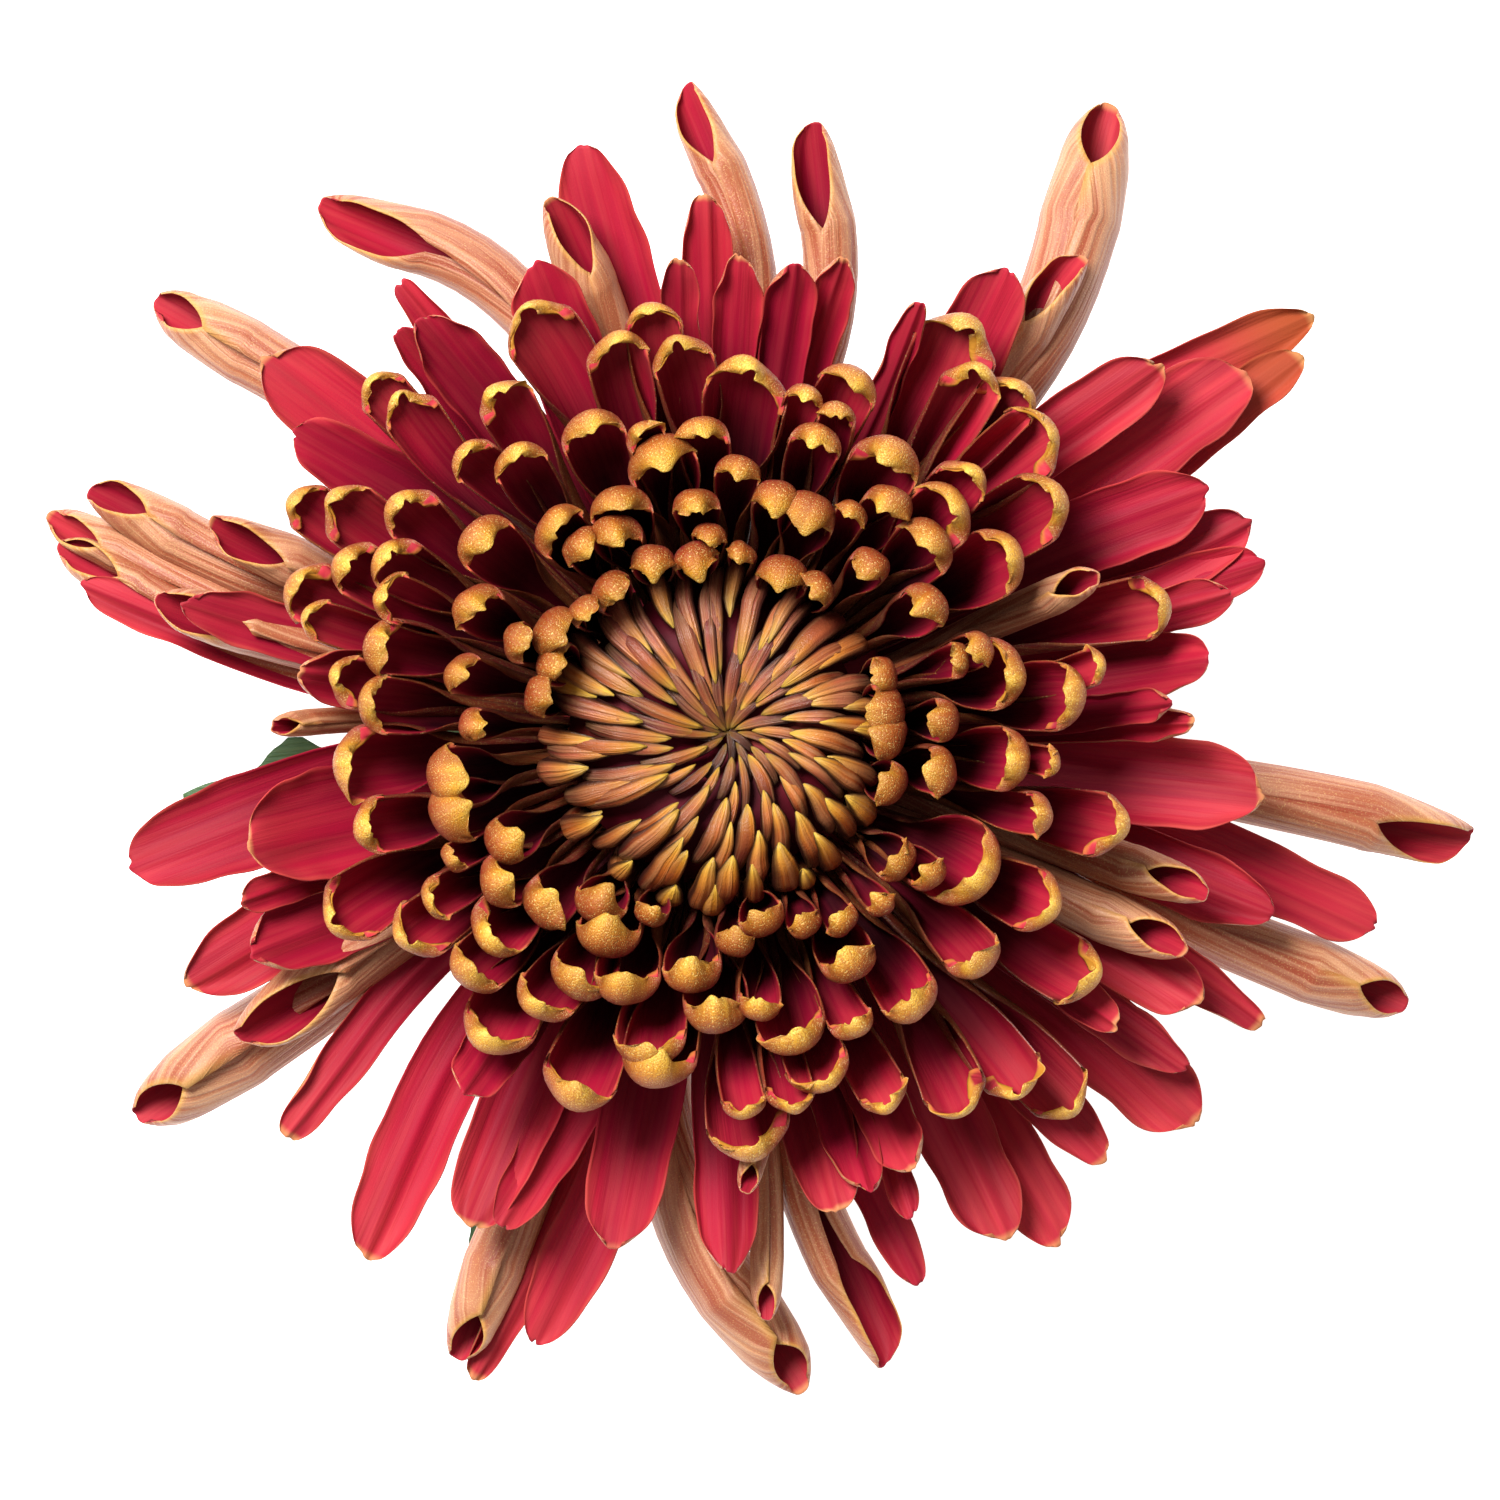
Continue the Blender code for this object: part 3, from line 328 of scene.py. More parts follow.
# meshes
class PieceMesh:
    # skins and tubes of one piece; tone is a random share, the reach and the form
    def __init__(self):
        self.points, self.faces, self.marks, self.smooth = [], [], [], []
        self.uv, self.fibre, self.tone = [], [], []
        self.count = 0

    def add(self, points, faces, marks, smooth, uv, fibre, tone):
        self.points.append(points)
        self.faces.append(faces + self.count)
        self.marks.append(np.broadcast_to(marks, len(faces)))
        self.smooth.append(np.broadcast_to(smooth, len(faces)))
        self.uv.append(uv)
        self.fibre.append(fibre)
        self.tone.append(np.tile(np.array([*tone, 1.0]), (len(points), 1)))
        self.count += len(points)

    def addBlade(self, blade):
        # the inner skin takes material 0, the outer one material 1 and the rim the one that rimMark says
        rows, columns = blade["inner"].shape[:2]
        total = rows * columns
        grid = np.arange(total).reshape(rows, columns)
        inner = np.stack([grid[:-1, :-1].ravel(), grid[:-1, 1:].ravel(),
                          grid[1:, 1:].ravel(), grid[1:, :-1].ravel()], 1)
        outer = inner[:, ::-1] + total
        left, right, first, last = grid[:, 0], grid[:, -1], grid[0], grid[-1]
        rim = np.concatenate([
            np.stack([right[:-1], right[:-1] + total, right[1:] + total, right[1:]], 1),
            np.stack([left[:-1], left[1:], left[1:] + total, left[:-1] + total], 1),
            np.stack([last[:-1], last[1:], last[1:] + total, last[:-1] + total], 1),
            np.stack([first[:-1], first[:-1] + total, first[1:] + total, first[1:]], 1)])
        faces = np.concatenate([inner, outer, rim])
        marks = np.repeat([0, 1, blade["rimMark"]], [len(inner), len(outer), len(rim)])
        smooth = np.repeat([1, 0], [len(inner) + len(outer), len(rim)])
        uv = np.stack([np.broadcast_to((blade["u"] + 1)[None, :] / 2, (rows, columns)),
                       np.broadcast_to(blade["v"][:, None], (rows, columns))], -1).reshape(-1, 2)
        fibre = np.stack([np.broadcast_to(blade["fibreX"], (rows, columns)),
                          np.broadcast_to(blade["fibreY"][:, None], (rows, columns))], -1).reshape(-1, 2)
        points = np.concatenate([blade["inner"].reshape(-1, 3), blade["outer"].reshape(-1, 3)])
        self.add(points, faces, marks, smooth, np.tile(uv, (2, 1)), np.tile(fibre, (2, 1)), blade["tone"])

    def addTube(self, rings, tone, mark=0):
        # closed tube: rings (rows, sides, 3), ends closed by a point each
        rows, sides = rings.shape[:2]
        points = np.concatenate([rings.reshape(-1, 3), rings[0].mean(0)[None], rings[-1].mean(0)[None]])
        grid = np.arange(rows * sides).reshape(rows, sides)
        following = np.roll(grid, -1, axis=1)
        quads = np.stack([grid[:-1].ravel(), following[:-1].ravel(),
                          following[1:].ravel(), grid[1:].ravel()], 1)
        startPoint, endPoint = np.full(sides, rows * sides), np.full(sides, rows * sides + 1)
        start = np.stack([following[0], grid[0], startPoint, startPoint], 1)
        end = np.stack([grid[-1], following[-1], endPoint, endPoint], 1)
        distance = lengthAlong(rings.mean(1))
        u = np.broadcast_to(np.abs(np.linspace(-1, 1, sides))[None, :], (rows, sides))
        v = np.broadcast_to((distance / distance[-1])[:, None], (rows, sides))
        uv = np.concatenate([np.stack([u, v], -1).reshape(-1, 2), [[0.5, 0], [0.5, 1]]])
        around = np.broadcast_to(np.linspace(0, 1, sides)[None, :], (rows, sides)) * 6
        fibre = np.stack([around, v * distance[-1]], -1).reshape(-1, 2)
        fibre = np.concatenate([fibre, [[0, 0], [0, distance[-1]]]])
        self.add(points, np.concatenate([quads, start, end]), mark, 1, uv, fibre, tone)

    def build(self, name, node, materials):
        points = (np.concatenate(self.points) + bloomCentre) * mm
        faces = np.concatenate(self.faces).astype(int)
        listed = [row[:3] if row[2] == row[3] else row for row in faces.tolist()]
        mesh = bpy.data.meshes.new(name)
        mesh.from_pydata(points.tolist(), [], listed)
        mesh.polygons.foreach_set("material_index", np.concatenate(self.marks).astype(np.int32))
        mesh.polygons.foreach_set("use_smooth", np.concatenate(self.smooth).astype(bool))
        corner = np.zeros(len(mesh.loops), dtype=np.int32)
        mesh.loops.foreach_get("vertex_index", corner)
        for layerName, values in (("floret", self.uv), ("fibre", self.fibre)):
            layer = mesh.uv_layers.new(name=layerName)
            layer.data.foreach_set("uv", np.concatenate(values)[corner].astype(np.float32).ravel())
        toneLayer = mesh.attributes.new("tone", "FLOAT_COLOR", "POINT")
        toneLayer.data.foreach_set("color", np.concatenate(self.tone).astype(np.float32).ravel())
        for material in materials:
            mesh.materials.append(material)
        mesh.update()
        obj = bpy.data.objects.new(name, mesh)
        bpy.context.scene.collection.objects.link(obj)
        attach(obj, "root")
        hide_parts(node)
        print(f"{name}: {sum(len(p.vertices) - 2 for p in mesh.polygons)} triangles", flush=True)


# materials
def addNode(tree, kind, inputs=None, **settings):
    node = tree.nodes.new(kind)
    for key, value in settings.items():
        setattr(node, key, value)
    for key, value in (inputs or {}).items():
        if isinstance(value, bpy.types.NodeSocket):
            tree.links.new(value, node.inputs[key])
        else:
            node.inputs[key].default_value = value
    return node


def maths(tree, operation, *values):
    return addNode(tree, "ShaderNodeMath", dict(enumerate(values)), operation=operation).outputs[0]


def times(tree, first, *others):
    for other in others:
        first = maths(tree, "MULTIPLY", first, other)
    return first


def without(tree, value):
    return maths(tree, "SUBTRACT", 1.0, value)


def stepBetween(tree, value, low, high, toLow=0.0, toHigh=1.0):
    return addNode(tree, "ShaderNodeMapRange", {"Value": value, "From Min": low, "From Max": high,
                                                 "To Min": toLow, "To Max": toHigh},
                   interpolation_type="SMOOTHSTEP").outputs["Result"]


def ramp(tree, value, stops):
    node = addNode(tree, "ShaderNodeValToRGB", {"Fac": value})
    elements = node.color_ramp.elements
    while len(elements) < len(stops):
        elements.new(0.5)
    for element, (place, colour) in zip(elements, stops):
        element.position = place
        element.color = (*colour, 1)
    return node.outputs["Color"]


def mix(tree, factor, a, b):
    node = addNode(tree, "ShaderNodeMix", data_type="RGBA")
    for index, value in ((0, factor), (6, a), (7, b)):
        if isinstance(value, bpy.types.NodeSocket):
            tree.links.new(value, node.inputs[index])
        else:
            node.inputs[index].default_value = value if index == 0 else (*value, 1)
    return node.outputs[2]


def makeGroup(name, inputs, outputs):
    tree = bpy.data.node_groups.new(name, "ShaderNodeTree")
    for label, value in inputs:
        tree.interface.new_socket(label, in_out="INPUT", socket_type="NodeSocketFloat").default_value = value
    for label in outputs:
        tree.interface.new_socket(label, in_out="OUTPUT", socket_type="NodeSocketFloat")
    return tree, tree.nodes.new("NodeGroupInput").outputs, tree.nodes.new("NodeGroupOutput").inputs


def floretGroup():
    # place on a floret and its lengthwise fibres; the fibre map is in millimetres
    tree, given, wanted = makeGroup("floretFibres", (("Streaks per mm", 0.8), ("Veins per mm", 2.6)),
                                    ("Edge", "Along", "Streak", "Vein", "Grain", "Random", "Reach", "Form"))

    def mapPlace(name):
        uv = addNode(tree, "ShaderNodeUVMap", uv_map=name)
        return addNode(tree, "ShaderNodeSeparateXYZ", {0: uv.outputs[0]}).outputs

    place, fibre = mapPlace("floret"), mapPlace("fibre")
    edge = maths(tree, "ABSOLUTE", maths(tree, "SUBTRACT", maths(tree, "MULTIPLY", place[0], 2.0), 1.0))
    tone = addNode(tree, "ShaderNodeSeparateColor",
                   {0: addNode(tree, "ShaderNodeAttribute", attribute_name="tone").outputs["Color"]})
    offset = maths(tree, "MULTIPLY", tone.outputs[0], 90.0)

    def fibres(perMm, alongScale, detail):
        spot = addNode(tree, "ShaderNodeCombineXYZ", {
            0: maths(tree, "MULTIPLY", fibre[0], perMm), 1: maths(tree, "MULTIPLY", fibre[1], alongScale),
            2: offset})
        noise = addNode(tree, "ShaderNodeTexNoise", {"Vector": spot.outputs[0], "Scale": 1.0,
                                                     "Detail": detail, "Roughness": 0.55})
        return noise.outputs[0]

    streak = stepBetween(tree, fibres(given["Streaks per mm"], 0.022, 2.0), 0.36, 0.64)
    vein = stepBetween(tree, fibres(given["Veins per mm"], 0.045, 3.0), 0.36, 0.64)
    grain = fibres(7.0, 6.0, 2.0)
    for label, value in (("Edge", edge), ("Along", place[1]), ("Streak", streak), ("Vein", vein),
                         ("Grain", grain), ("Random", tone.outputs[0]), ("Reach", tone.outputs[1]),
                         ("Form", tone.outputs[2])):
        tree.links.new(value, wanted[label])
    return tree


floretFibres = floretGroup()


def newMaterial(name, roughness, gloss=0.3):
    material = bpy.data.materials.new(name)
    material.use_nodes = True
    tree = material.node_tree
    shader = tree.nodes["Principled BSDF"]
    shader.inputs["Roughness"].default_value = roughness
    shader.inputs["Specular IOR Level"].default_value = gloss
    return material, tree, shader


def weighted(tree, start, *parts):
    # start plus each value times its weight
    total = start
    for value, weight in parts:
        total = maths(tree, "MULTIPLY_ADD", value, weight, total)
    return total


def useFibres(tree, streaks, veins):
    node = addNode(tree, "ShaderNodeGroup", node_tree=floretFibres)
    node.inputs["Streaks per mm"].default_value = streaks
    node.inputs["Veins per mm"].default_value = veins
    return node.outputs


def bumpFrom(tree, shader, height, strength, distance):
    bump = addNode(tree, "ShaderNodeBump", {"Height": height, "Strength": strength, "Distance": distance})
    tree.links.new(bump.outputs[0], shader.inputs["Normal"])


def crimsonFace():
    # inner side of the rays
    look = dict(streaks=0.32, veins=1.8, roughness=0.55, gloss=0.1, bump=0.22, shade=(0.13, 0.002, 0.012),
                vein=(0.80, 0.16, 0.10), rim=(0.46, 0.17, 0.03), cap=(0.40, 0.17, 0.02),
                rust=(0.30, 0.066, 0.016), gold=(0.62, 0.34, 0.12))
    reds = ((0.0, (0.005, 0.0006, 0.002)), (0.28, (0.026, 0.001, 0.005)), (0.46, (0.13, 0.002, 0.013)),
            (0.66, (0.29, 0.005, 0.025)), (0.84, (0.35, 0.010, 0.028)), (1.0, (0.41, 0.024, 0.038)))
    material, tree, shader = newMaterial("crimsonFace", look["roughness"], look["gloss"])
    f = useFibres(tree, look["streaks"], look["veins"])
    # brighter towards the tip, on the longer florets and along the margins, and darker in a tube;
    # a hook's face is at its brightest half way, where the hook turns over
    # the dark near the root, on inner florets and inside a tube is painted shade, partly deeper colour
    hooked = stepBetween(tree, f["Form"], 0.1, 0.4, 1.0, 0.0)
    hookAlong = stepBetween(tree, f["Along"], 0.30, 0.54)
    along = maths(tree, "ADD", times(tree, hookAlong, hooked), times(tree, f["Along"], without(tree, hooked)))
    margin = stepBetween(tree, f["Edge"], 0.45, 1.0)
    tube = times(tree, f["Form"], without(tree, f["Form"]))
    level = weighted(tree, -0.11, (along, 0.62), (f["Reach"], 0.66), (f["Random"], 0.20), (margin, 0.16),
                     (f["Form"], -0.12), (tube, -0.5))
    base = ramp(tree, level, reds)
    base = mix(tree, times(tree, without(tree, f["Streak"]), 0.5), base, look["shade"])
    # pale lines along the veins: partly paler veins, partly painted highlight on their ridges
    base = mix(tree, times(tree, f["Vein"], level, 0.07), base, look["vein"])
    late = times(tree, stepBetween(tree, f["Along"], 0.4, 0.7), weighted(tree, 0.12, (hooked, 0.8)))
    base = mix(tree, times(tree, stepBetween(tree, f["Edge"], 0.84, 0.96), late, 0.8), base, look["rim"])
    # inside a hook's cap the face is gold-brown
    base = mix(tree, times(tree, stepBetween(tree, f["Along"], 0.74, 0.86), hooked), base, look["cap"])
    # the farthest open florets turn rust, and some tips are pale gold
    farOne = times(tree, stepBetween(tree, f["Reach"], 0.872, 0.885),
                   stepBetween(tree, f["Along"], 0.55, 0.95))
    base = mix(tree, times(tree, farOne, 0.8, stepBetween(tree, f["Form"], 0.6, 0.9)), base, look["rust"])
    goldTip = times(tree, stepBetween(tree, f["Random"], 0.5, 0.6),
                    stepBetween(tree, f["Along"], 0.965, 0.995))
    base = mix(tree, times(tree, goldTip, 0.5), base, look["gold"])
    tree.links.new(base, shader.inputs["Base Color"])
    bumpFrom(tree, shader, weighted(tree, 0.0, (f["Vein"], 1.0), (f["Grain"], 0.5)), look["bump"], 0.0002)
    return material


def bronzeBack():
    # outer side of the rays, which a hook shows as its cap and a quill as its whole tube
    look = dict(streaks=0.6, veins=1.8, roughness=0.40, gloss=0.34, bump=0.6, rim=(0.60, 0.32, 0.05),
                capShade=(0.20, 0.030, 0.006), longShade=(0.22, 0.022, 0.012), capVeinHighlight=(0.78, 0.50, 0.10),
                longVeinHighlight=(0.82, 0.52, 0.30), capSideShade=(0.26, 0.062, 0.008), innerCapShade=(0.20, 0.034, 0.005),
                speckle=(0.32, 0.06, 0.012), dots=(0.92, 0.72, 0.26))
    longSkin = ((0.0, (0.08, 0.006, 0.007)), (0.3, (0.26, 0.045, 0.022)), (0.5, (0.34, 0.100, 0.044)),
                (0.75, (0.42, 0.178, 0.082)), (1.0, (0.34, 0.078, 0.032)))
    # a cap's ramp is dark down the hook's body and on the cap's outer side and gold at its ridge:
    # partly the cap's colour, partly painted shade and highlight
    capSkinAndShade = ((0.35, (0.08, 0.003, 0.010)), (0.58, (0.18, 0.010, 0.014)), (0.70, (0.26, 0.042, 0.008)),
               (0.78, (0.42, 0.13, 0.011)), (0.88, (0.60, 0.29, 0.018)), (1.0, (0.76, 0.49, 0.07)))
    material, tree, shader = newMaterial("bronzeBack", look["roughness"], look["gloss"])
    f = useFibres(tree, look["streaks"], look["veins"])
    longOne = stepBetween(tree, f["Form"], 0.2, 0.45)
    base = mix(tree, longOne, ramp(tree, f["Along"], capSkinAndShade), ramp(tree, f["Along"], longSkin))
    dark = times(tree, without(tree, f["Streak"]), weighted(tree, 0.5, (longOne, 0.10)))
    base = mix(tree, dark, base, mix(tree, longOne, look["capShade"], look["longShade"]))
    # pale lines along the veins, in the caps' and quills' highlight colours: partly paler veins, partly
    # painted highlight
    light = times(tree, f["Vein"], weighted(tree, 0.06, (longOne, 0.24)))
    base = mix(tree, light, base, mix(tree, longOne, look["capVeinHighlight"], look["longVeinHighlight"]))
    # caps are darker at their sides, as painted shade, and on the inner hooks, as painted shade deep in the
    # bloom and partly deeper colour
    onCap = times(tree, stepBetween(tree, f["Along"], 0.55, 0.75), without(tree, longOne))
    side = times(tree, stepBetween(tree, f["Edge"], 0.3, 0.9, 0.0, 0.7), onCap)
    base = mix(tree, side, base, look["capSideShade"])
    deepCapShade = times(tree, stepBetween(tree, f["Reach"], 0.22, 0.42, 0.36, 0.0), onCap)
    base = mix(tree, deepCapShade, base, look["innerCapShade"])
    fleck = weighted(tree, 0.22, (onCap, 0.26))
    base = mix(tree, times(tree, stepBetween(tree, f["Grain"], 0.5, 0.64), fleck), base, look["speckle"])
    base = mix(tree, times(tree, stepBetween(tree, f["Grain"], 0.42, 0.32), fleck), base, look["dots"])
    rim = times(tree, stepBetween(tree, f["Edge"], 0.88, 1.0), stepBetween(tree, f["Along"], 0.45, 0.8),
                stepBetween(tree, f["Form"], 0.6, 0.9, 0.55, 0.15))
    base = mix(tree, rim, base, look["rim"])
    tree.links.new(base, shader.inputs["Base Color"])
    ribs = times(tree, f["Vein"], weighted(tree, 0.3, (longOne, 0.3)))
    grains = times(tree, f["Grain"], weighted(tree, 0.5, (onCap, 1.1)))
    bumpFrom(tree, shader, maths(tree, "ADD", ribs, grains), look["bump"], 0.0002)
    return material


def buttonSkin():
    look = dict(streaks=1.2, veins=2.2, roughness=0.34, gloss=0.36, bump=0.6, shade=(0.08, 0.016, 0.012),
                vein=(0.85, 0.50, 0.20), side=(0.018, 0.004, 0.004), middle=(0.030, 0.010, 0.006))
    # both ramps go near black at a floret's base: painted shade in the gaps between florets
    mauve = ((0.0, (0.012, 0.002, 0.003)), (0.3, (0.11, 0.016, 0.016)), (0.6, (0.34, 0.078, 0.042)),
             (0.8, (0.48, 0.17, 0.030)), (1.0, (0.66, 0.45, 0.06)))
    amber = ((0.0, (0.020, 0.002, 0.002)), (0.3, (0.15, 0.020, 0.006)), (0.6, (0.38, 0.090, 0.012)),
             (0.8, (0.52, 0.20, 0.016)), (1.0, (0.66, 0.42, 0.04)))
    material, tree, shader = newMaterial("buttonSkin", look["roughness"], look["gloss"])
    f = useFibres(tree, look["streaks"], look["veins"])
    base = mix(tree, stepBetween(tree, f["Random"], 0.1, 0.65), ramp(tree, f["Along"], mauve),
               ramp(tree, f["Along"], amber))
    base = mix(tree, times(tree, without(tree, f["Streak"]), 0.5), base, look["shade"])
    # pale lines along the veins: partly paler veins, partly painted highlight on their ridges
    base = mix(tree, times(tree, f["Vein"], 0.14), base, look["vein"])
    # near black along each floret's sides: painted shade in the gaps between florets
    base = mix(tree, stepBetween(tree, f["Edge"], 0.35, 0.9, 0.0, 0.95), base, look["side"])
    base = mix(tree, stepBetween(tree, f["Reach"], 0.05, 0.45, 0.88, 0.0), base, look["middle"])
    tree.links.new(base, shader.inputs["Base Color"])
    bumpFrom(tree, shader, weighted(tree, 0.0, (f["Vein"], 1.0), (f["Grain"], 0.8)), look["bump"], 0.0002)
    return material


# darker and lighter patches, veins, and roughness
greens = {
    "bractGreen": ((0.05, 0.085, 0.02), (0.12, 0.17, 0.05), (0.20, 0.25, 0.09), 0.6),
    "stemGreen": ((0.09, 0.13, 0.04), (0.17, 0.22, 0.07), (0.24, 0.29, 0.11), 0.55),
    "leafGreen": ((0.022, 0.065, 0.024), (0.06, 0.13, 0.05), (0.13, 0.21, 0.09), 0.5)}


def greenSkin(name):
    darker, lighter, veinColour, roughness = greens[name]
    material, tree, shader = newMaterial(name, roughness)
    f = useFibres(tree, 0.5, 1.6)
    place = addNode(tree, "ShaderNodeTexCoord").outputs["Object"]
    patch = addNode(tree, "ShaderNodeTexNoise", {"Vector": place, "Scale": 180.0, "Detail": 4.0}).outputs[0]
    base = ramp(tree, patch, ((0.35, darker), (0.65, lighter)))
    base = mix(tree, times(tree, f["Vein"], 0.3), base, veinColour)
    midrib = stepBetween(tree, f["Edge"], 0.0, 0.07, 0.75, 0.0)
    base = mix(tree, midrib, base, veinColour)
    tree.links.new(base, shader.inputs["Base Color"])
    bumpFrom(tree, shader, maths(tree, "ADD", f["Vein"], patch), 0.5, 0.0003)
    return material


crimson, bronze, button = crimsonFace(), bronzeBack(), buttonSkin()
bractGreen, stemGreen, leafGreen = (greenSkin(name) for name in greens)
print("six materials made", flush=True)


# turned forms: rings from rows of radius and height; a wobble gives them seven soft ribs
def latheRings(profile, sides, wobble=0.0):
    turns = np.linspace(0, 2 * math.pi, sides, endpoint=False)
    rings = []
    for r, z in profile:
        radius = r * (1 + wobble * np.cos(turns * 7))
        rings.append(np.stack([radius * np.cos(turns), radius * np.sin(turns), np.full(sides, z)], -1))
    return np.array(rings)


# ray florets and the core that they grow from
rng = random.Random(raySeed)
for name, form, rows in (
        ("innerHooks", "hooked", [row for row in hookedRays if row[1] < innerReach]),
        ("outerHooks", "hooked", [row for row in hookedRays if row[1] >= innerReach]),
        ("openPetals", "open", openRays), ("quilledPetals", "quilled", quilledRays)):
    piece = PieceMesh()
    for row in rows:
        piece.addBlade(rayFloret(form, row, rng))
    piece.build(name, "ray_florets", (crimson, bronze))

coreProfile = ((2, -9), (8, -9), (15, -6.3), (17.6, -3), (18.4, -0.5), (18, 2.5), (17, 5.2), (12, 7.2),
               (2, 7.2))
core = PieceMesh()
core.addTube(latheRings(coreProfile, 48), (0.5, 0.1, 1))
core.build("bloomCore", "ray_florets", (crimson,))


# button of closed florets
buttonLook = dict(count=126, golden=137.508, crestSpan=23.4, rings=14, sides=16, swirl=14, middleShift=1.3,
                  shortest=3.6, longer=7.2, slimmest=0.32, wider=1.12, flatness=0.8, groove=0.12, seed=11)
# radius and height of the surface that the button's florets lie on, from its foot to its middle
buttonCrest = np.array([(13.6, 10.6), (15.9, 13.2), (16.1, 15.9), (13.8, 18.4), (10, 19.9), (5.6, 19.2),
                        (2.4, 17.7), (0.0, 16.6)])


def crestPoint(distance):
    # radius and height on the button's surface, and the way along it to the middle
    along = lengthAlong(buttonCrest)
    distance = np.clip(distance, 0, along[-1] - 0.01)

    def crestAt(where):
        where = np.clip(where, 0, along[-1])
        return np.interp(where, along, buttonCrest[:, 0]), np.interp(where, along, buttonCrest[:, 1])

    r, z = crestAt(distance)
    aheadR, aheadZ = crestAt(distance + 0.9)
    behindR, behindZ = crestAt(distance - 0.9)
    dr, dz = aheadR - behindR, aheadZ - behindZ
    size = np.hypot(dr, dz)
    return r, z, dr / size, dz / size


def buttonFloret(number, rng):
    count = buttonLook["count"]
    outward = ((number + 0.5) / count) ** 0.66
    bearing = number * buttonLook["golden"] + rng.uniform(-5, 5)
    south = -math.sin(math.radians(bearing))  # florets stand up on this side and lie flat on the other
    start = buttonLook["crestSpan"] * (1 - outward) + rng.uniform(-.6, .6)
    length = buttonLook["shortest"] + buttonLook["longer"] * outward
    length = length * rng.uniform(0.85, 1.15) * (1 - 0.2 * south)
    length = min(length, buttonLook["crestSpan"] + 0.6 - start)
    half = (buttonLook["slimmest"] + buttonLook["wider"] * outward) * rng.uniform(0.75, 1.2)
    half = half * (1 + 0.16 * south * outward)
    share = np.linspace(0, 1, buttonLook["rings"])
    r, z, dr, dz = crestPoint(start + length * share)
    turn = np.radians(bearing + buttonLook["swirl"] * share * (1.25 - outward))
    flat = np.stack([np.cos(turn), np.sin(turn), np.zeros_like(turn)], -1)
    side = np.stack([-np.sin(turn), np.cos(turn), np.zeros_like(turn)], -1)
    out = flat * dz[:, None] - up * dr[:, None]
    high = np.interp(share, (0, .4, 1), (-.5, .6, 1.2 + 0.7 * south)) + rng.uniform(-.5, .4)
    high = high * (0.45 + 0.55 * outward)
    middle = flat * r[:, None] + up * z[:, None] + out * high[:, None]
    middle[:, 0] += buttonLook["middleShift"] * np.clip(1 - (r / 13) ** 2, 0, 1)
    wide = half * np.interp(share, (0, .15, .45, .75, .92, 1), (.55, .8, 1, .8, .42, .1))
    around = np.linspace(0, 2 * math.pi, buttonLook["sides"], endpoint=False)
    groove = 1 - buttonLook["groove"] * np.clip(np.cos(around * 3 + rng.uniform(0, 6)), 0, 1)
    x = wide[:, None] * np.cos(around)[None, :] * groove
    y = wide[:, None] * buttonLook["flatness"] * np.sin(around)[None, :] * groove
    rings = middle[:, None, :] + side[:, None, :] * x[..., None] + out[:, None, :] * y[..., None]
    amber = min(max(0.5 + 0.35 * south + rng.uniform(-.3, .3), 0), 1)
    return rings[:, ::-1], (amber, outward, 1)


domeProfile = [(1.0, 8.0), (9.0, 8.0), *((r * 0.9, z - 1.5) for r, z in buttonCrest[:-1]), (1.0, 15.2)]
buttonPiece = PieceMesh()
# the dome wears the crimson face at its darkest: painted shade seen through the gaps between florets
buttonPiece.addTube(latheRings(domeProfile, 40), (0.2, 0.0, 1), 1)
rng = random.Random(buttonLook["seed"])
for number in range(buttonLook["count"]):
    buttonPiece.addTube(*buttonFloret(number, rng))
buttonPiece.build("buttonFlorets", "centre_florets", (button, crimson))


# bracts, stem and leaves
def leafyBlade(centre, side, half, rise, thick, columns, tone, curve):
    # a blade that lies nearly level: rise lifts it off its centre line, curve lifts its edges
    u = np.linspace(-1, 1, columns)
    offset = side[:, None, :] * (half[:, None] * u[None, :])[..., None]
    lift = rise + curve * (u ** 2)[None, :] * half[:, None]
    middle = centre[:, None, :] + offset + up * lift[..., None]
    edge = thick * (1 - 0.75 * np.abs(u) ** 4)[None, :] * np.ones(len(centre))[:, None]
    return dict(inner=middle + up * edge[..., None] / 2, outer=middle - up * edge[..., None] / 2, u=u,
                v=np.linspace(0, 1, len(centre)), fibreX=half[:, None] * u[None, :],
                fibreY=lengthAlong(centre), tone=tone, rimMark=0)


def levelSide(flat, rows):
    return np.tile(np.array([flat[1], -flat[0], 0]), (rows, 1))


bractLook = dict(rows=2, perRow=10, along=16, across=9, thick=.5, curve=.12, reach=14, shorter=1.6, lower=.5,
                 stagger=.07)
bractCup = ((2.0, -17.0), (2.7, -17.0), (4.6, -15.2), (7.6, -12.6), (8.8, -10.3), (8.3, -9.4), (2.0, -9.4))
bractPiece = PieceMesh()
bractPiece.addTube(latheRings(bractCup, 36, 0.01), (0.5, 0.5, 1))
share = np.linspace(0, 1, bractLook["along"])
for row in range(bractLook["rows"]):
    drop = bractLook["lower"] * row
    r = np.interp(share, (0, .4, .75, 1), (5.2, 8.8, 11.6, bractLook["reach"] - bractLook["shorter"] * row))
    half = np.interp(share, (0, .4, .75, .93, 1), (1.4, 2.2, 1.9, .9, .3))
    for number in range(bractLook["perRow"]):
        flat = levelWay((number + 0.5 * row) * 360 / bractLook["perRow"])
        z = np.interp(share, (0, .4, .75, 1), (-13.2, -11.2, -9.9, -8.9 - drop)) - drop
        z = z - bractLook["stagger"] * (number % 3)
        centre = flat[None, :] * r[:, None] + up * z[:, None]
        bractPiece.addBlade(leafyBlade(centre, levelSide(flat, len(share)), half, 0.0, bractLook["thick"],
                                       bractLook["across"], (number / 10, .5, 1), bractLook["curve"]))
bractPiece.build("involucreBracts", "involucre", (bractGreen, bractGreen))

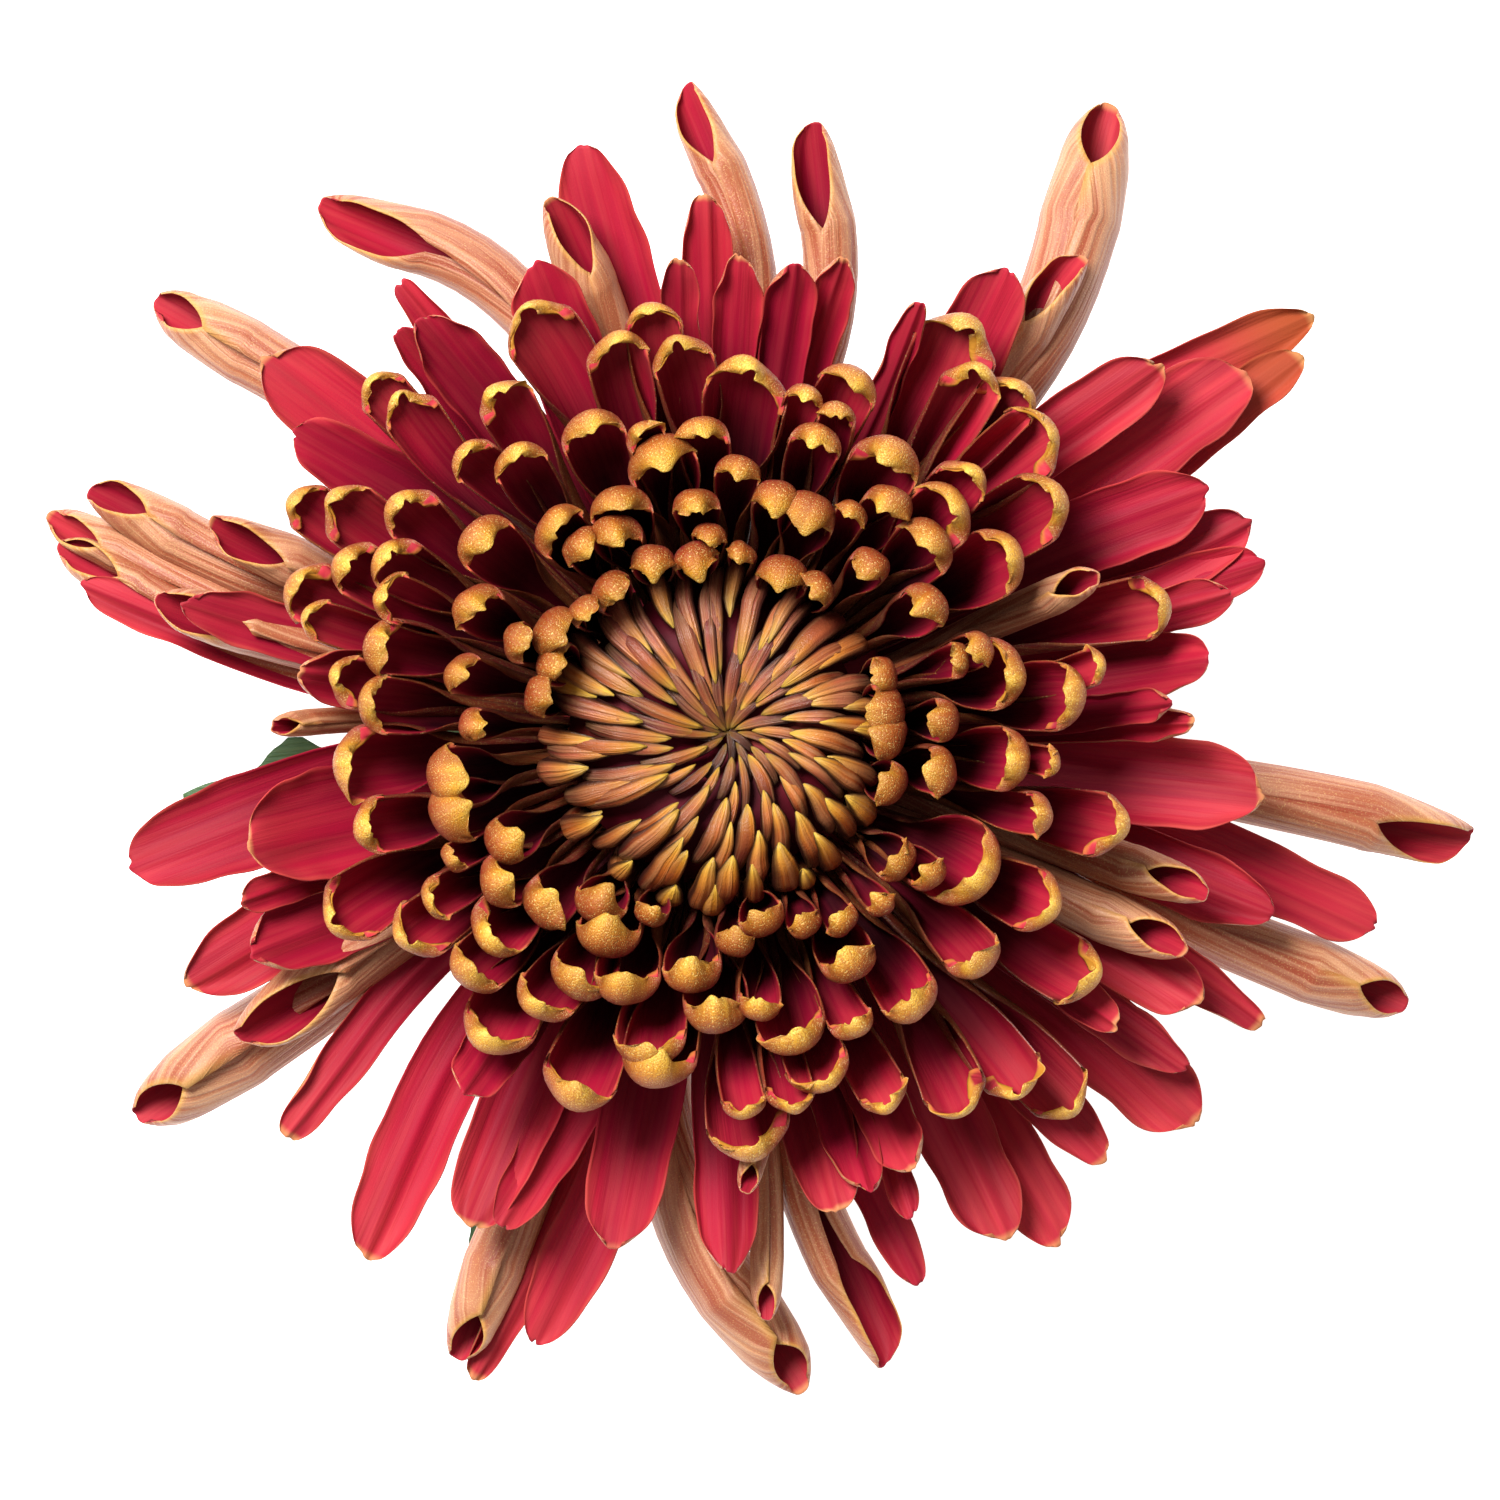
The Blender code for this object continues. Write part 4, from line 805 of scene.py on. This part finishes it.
stemLook = dict(rows=30, sides=48, radius=2.6, ribs=6, ribDepth=.055, top=-17.3, length=19.7, lean=1.2,
                topShare=.9, cutShare=.92)
share = np.linspace(0, 1, stemLook["rows"])[:, None]
turns = np.linspace(0, 2 * math.pi, stemLook["sides"], endpoint=False)
around = stemLook["radius"] * (1 + stemLook["ribDepth"] * np.cos(turns * stemLook["ribs"] + math.pi))
stemRadius = np.tile(around, (stemLook["rows"], 1))
stemRadius[0] *= stemLook["topShare"]
stemRadius[-1] *= stemLook["cutShare"]
stemHeight = np.broadcast_to(stemLook["top"] - stemLook["length"] * share, stemRadius.shape)
stemRings = np.stack([stemLook["lean"] * share ** 2 + stemRadius * np.cos(turns),
                      stemRadius * np.sin(turns), stemHeight], -1)
stemPiece = PieceMesh()
stemPiece.addTube(stemRings[:, ::-1], (.5, .5, 1))
stemPiece.build("stalk", "stem", (stemGreen,))

leafLook = dict(along=70, across=17, thick=.5, rise=.35, curve=.03, teeth=46, toothDepth=.35)
# share of the length, half width, height of the underside
leafShape = np.array([
    (0.0, 1.0, 11.0), (0.1, 0.9, 9.6), (0.22, 1.0, 5.6), (0.32, 3.4, 2.2), (0.42, 8.2, 0.0), (0.52, 9.2, 0.0),
    (0.6, 5.0, 0.0), (0.68, 2.8, 0.0), (0.78, 5.4, 0.0), (0.88, 4.6, 0.0), (0.95, 2.6, 0.0), (1.0, 0.5, 0.0)])
# node, slot, bearing and reach
leafPlaces = (("leaf_1", "leaf_a", 186.7, 55.5), ("leaf_2", "leaf_b", 247.0, 62.5),
              ("leaf_3", "leaf_c", 34.0, 57.0))
share = np.linspace(0, 1, leafLook["along"])
for number, (node, slot, bearing, reach) in enumerate(leafPlaces):
    flat = levelWay(bearing)
    start = 3.1 + 0.3 * flat[0]  # just outside the leaning stem
    half = np.interp(share, leafShape[:, 0], leafShape[:, 1])
    if node == "leaf_1":
        half = half * np.interp(share, (0, .78, .88, 1), (1, 1, .28, .5))  # its end lobe hides under a petal
    teeth = np.clip(half - 1.2, 0, 1.4) * leafLook["toothDepth"]
    teeth = teeth * np.abs(np.sin(share * leafLook["teeth"] + number))
    low = np.interp(share, leafShape[:, 0], leafShape[:, 2])
    centre = flat[None, :] * (start + (reach - start) * share)[:, None] + up * (low - bloomHeight)[:, None]
    leafPiece = PieceMesh()
    side = levelSide(flat, len(share))
    leafPiece.addBlade(leafyBlade(centre, side, half - teeth, leafLook["rise"], leafLook["thick"],
                                  leafLook["across"], (number / 3, .5, 1), leafLook["curve"]))
    leafPiece.build(f"foliage{number + 1}", node, (leafGreen, leafGreen))


# floor, light and camera
studio = dict(floorHalf=3, floorDrop=0.0004, floorTone=0.85, floorGlow=0.85, worldLight=0.46,
              lampSize=0.45, lampEnergy=22, lampPlace=(-0.35, 0.4, 0.9), lampAim=(0, 0, 0.04))
white = (1, 1, 1, 1)
floorEdge = studio["floorHalf"]
floorMesh = bpy.data.meshes.new("floor")
floorMesh.from_pydata([(-floorEdge, -floorEdge, 0), (floorEdge, -floorEdge, 0), (floorEdge, floorEdge, 0),
                       (-floorEdge, floorEdge, 0)], [], [(0, 1, 2, 3)])
floor = bpy.data.objects.new("floor", floorMesh)
floor.location.z = -studio["floorDrop"]  # so that no leaf lies in the floor's own plane
bpy.context.scene.collection.objects.link(floor)
floorMaterial, floorTree, floorShader = newMaterial("floorWhite", 0.8)
floorShader.inputs["Base Color"].default_value = (*[studio["floorTone"]] * 3, 1)
floorShader.inputs["Emission Color"].default_value = white
floorShader.inputs["Emission Strength"].default_value = studio["floorGlow"]
floorMesh.materials.append(floorMaterial)

world = bpy.data.worlds.new("studio")
world.use_nodes = True
background = world.node_tree.nodes["Background"]
background.inputs["Color"].default_value = white
background.inputs["Strength"].default_value = studio["worldLight"]
bpy.context.scene.world = world

keyLamp = bpy.data.lights.new("keyLamp", "AREA")
keyLamp.shape = "DISK"
keyLamp.size = studio["lampSize"]
keyLamp.energy = studio["lampEnergy"]
keyObject = bpy.data.objects.new("keyLamp", keyLamp)
keyObject.location = studio["lampPlace"]
keyObject.rotation_mode = "QUATERNION"
keyObject.rotation_quaternion = (keyObject.location - Vector(studio["lampAim"])).to_track_quat("Z", "Y")
bpy.context.scene.collection.objects.link(keyObject)

# straight down on a point beside the bloom's axis; width is what the picture spans at the focus height
shot = dict(centreX=3.5, centreY=-1.7, width=150.0, focus=43.0, distance=1250.0, sensor=36)
camera = bpy.data.cameras.new("camera")
camera.sensor_width = shot["sensor"]
camera.lens = shot["sensor"] * shot["distance"] / shot["width"]
camera.clip_end = 10
cameraObject = bpy.data.objects.new("camera", camera)
cameraObject.location = ((axisX + shot["centreX"]) * mm, (axisY + shot["centreY"]) * mm,
                         (shot["focus"] + shot["distance"]) * mm)
bpy.context.scene.collection.objects.link(cameraObject)
bpy.context.scene.camera = cameraObject
bpy.context.scene.view_settings.view_transform = "Standard"
print("floor, light and camera placed", flush=True)
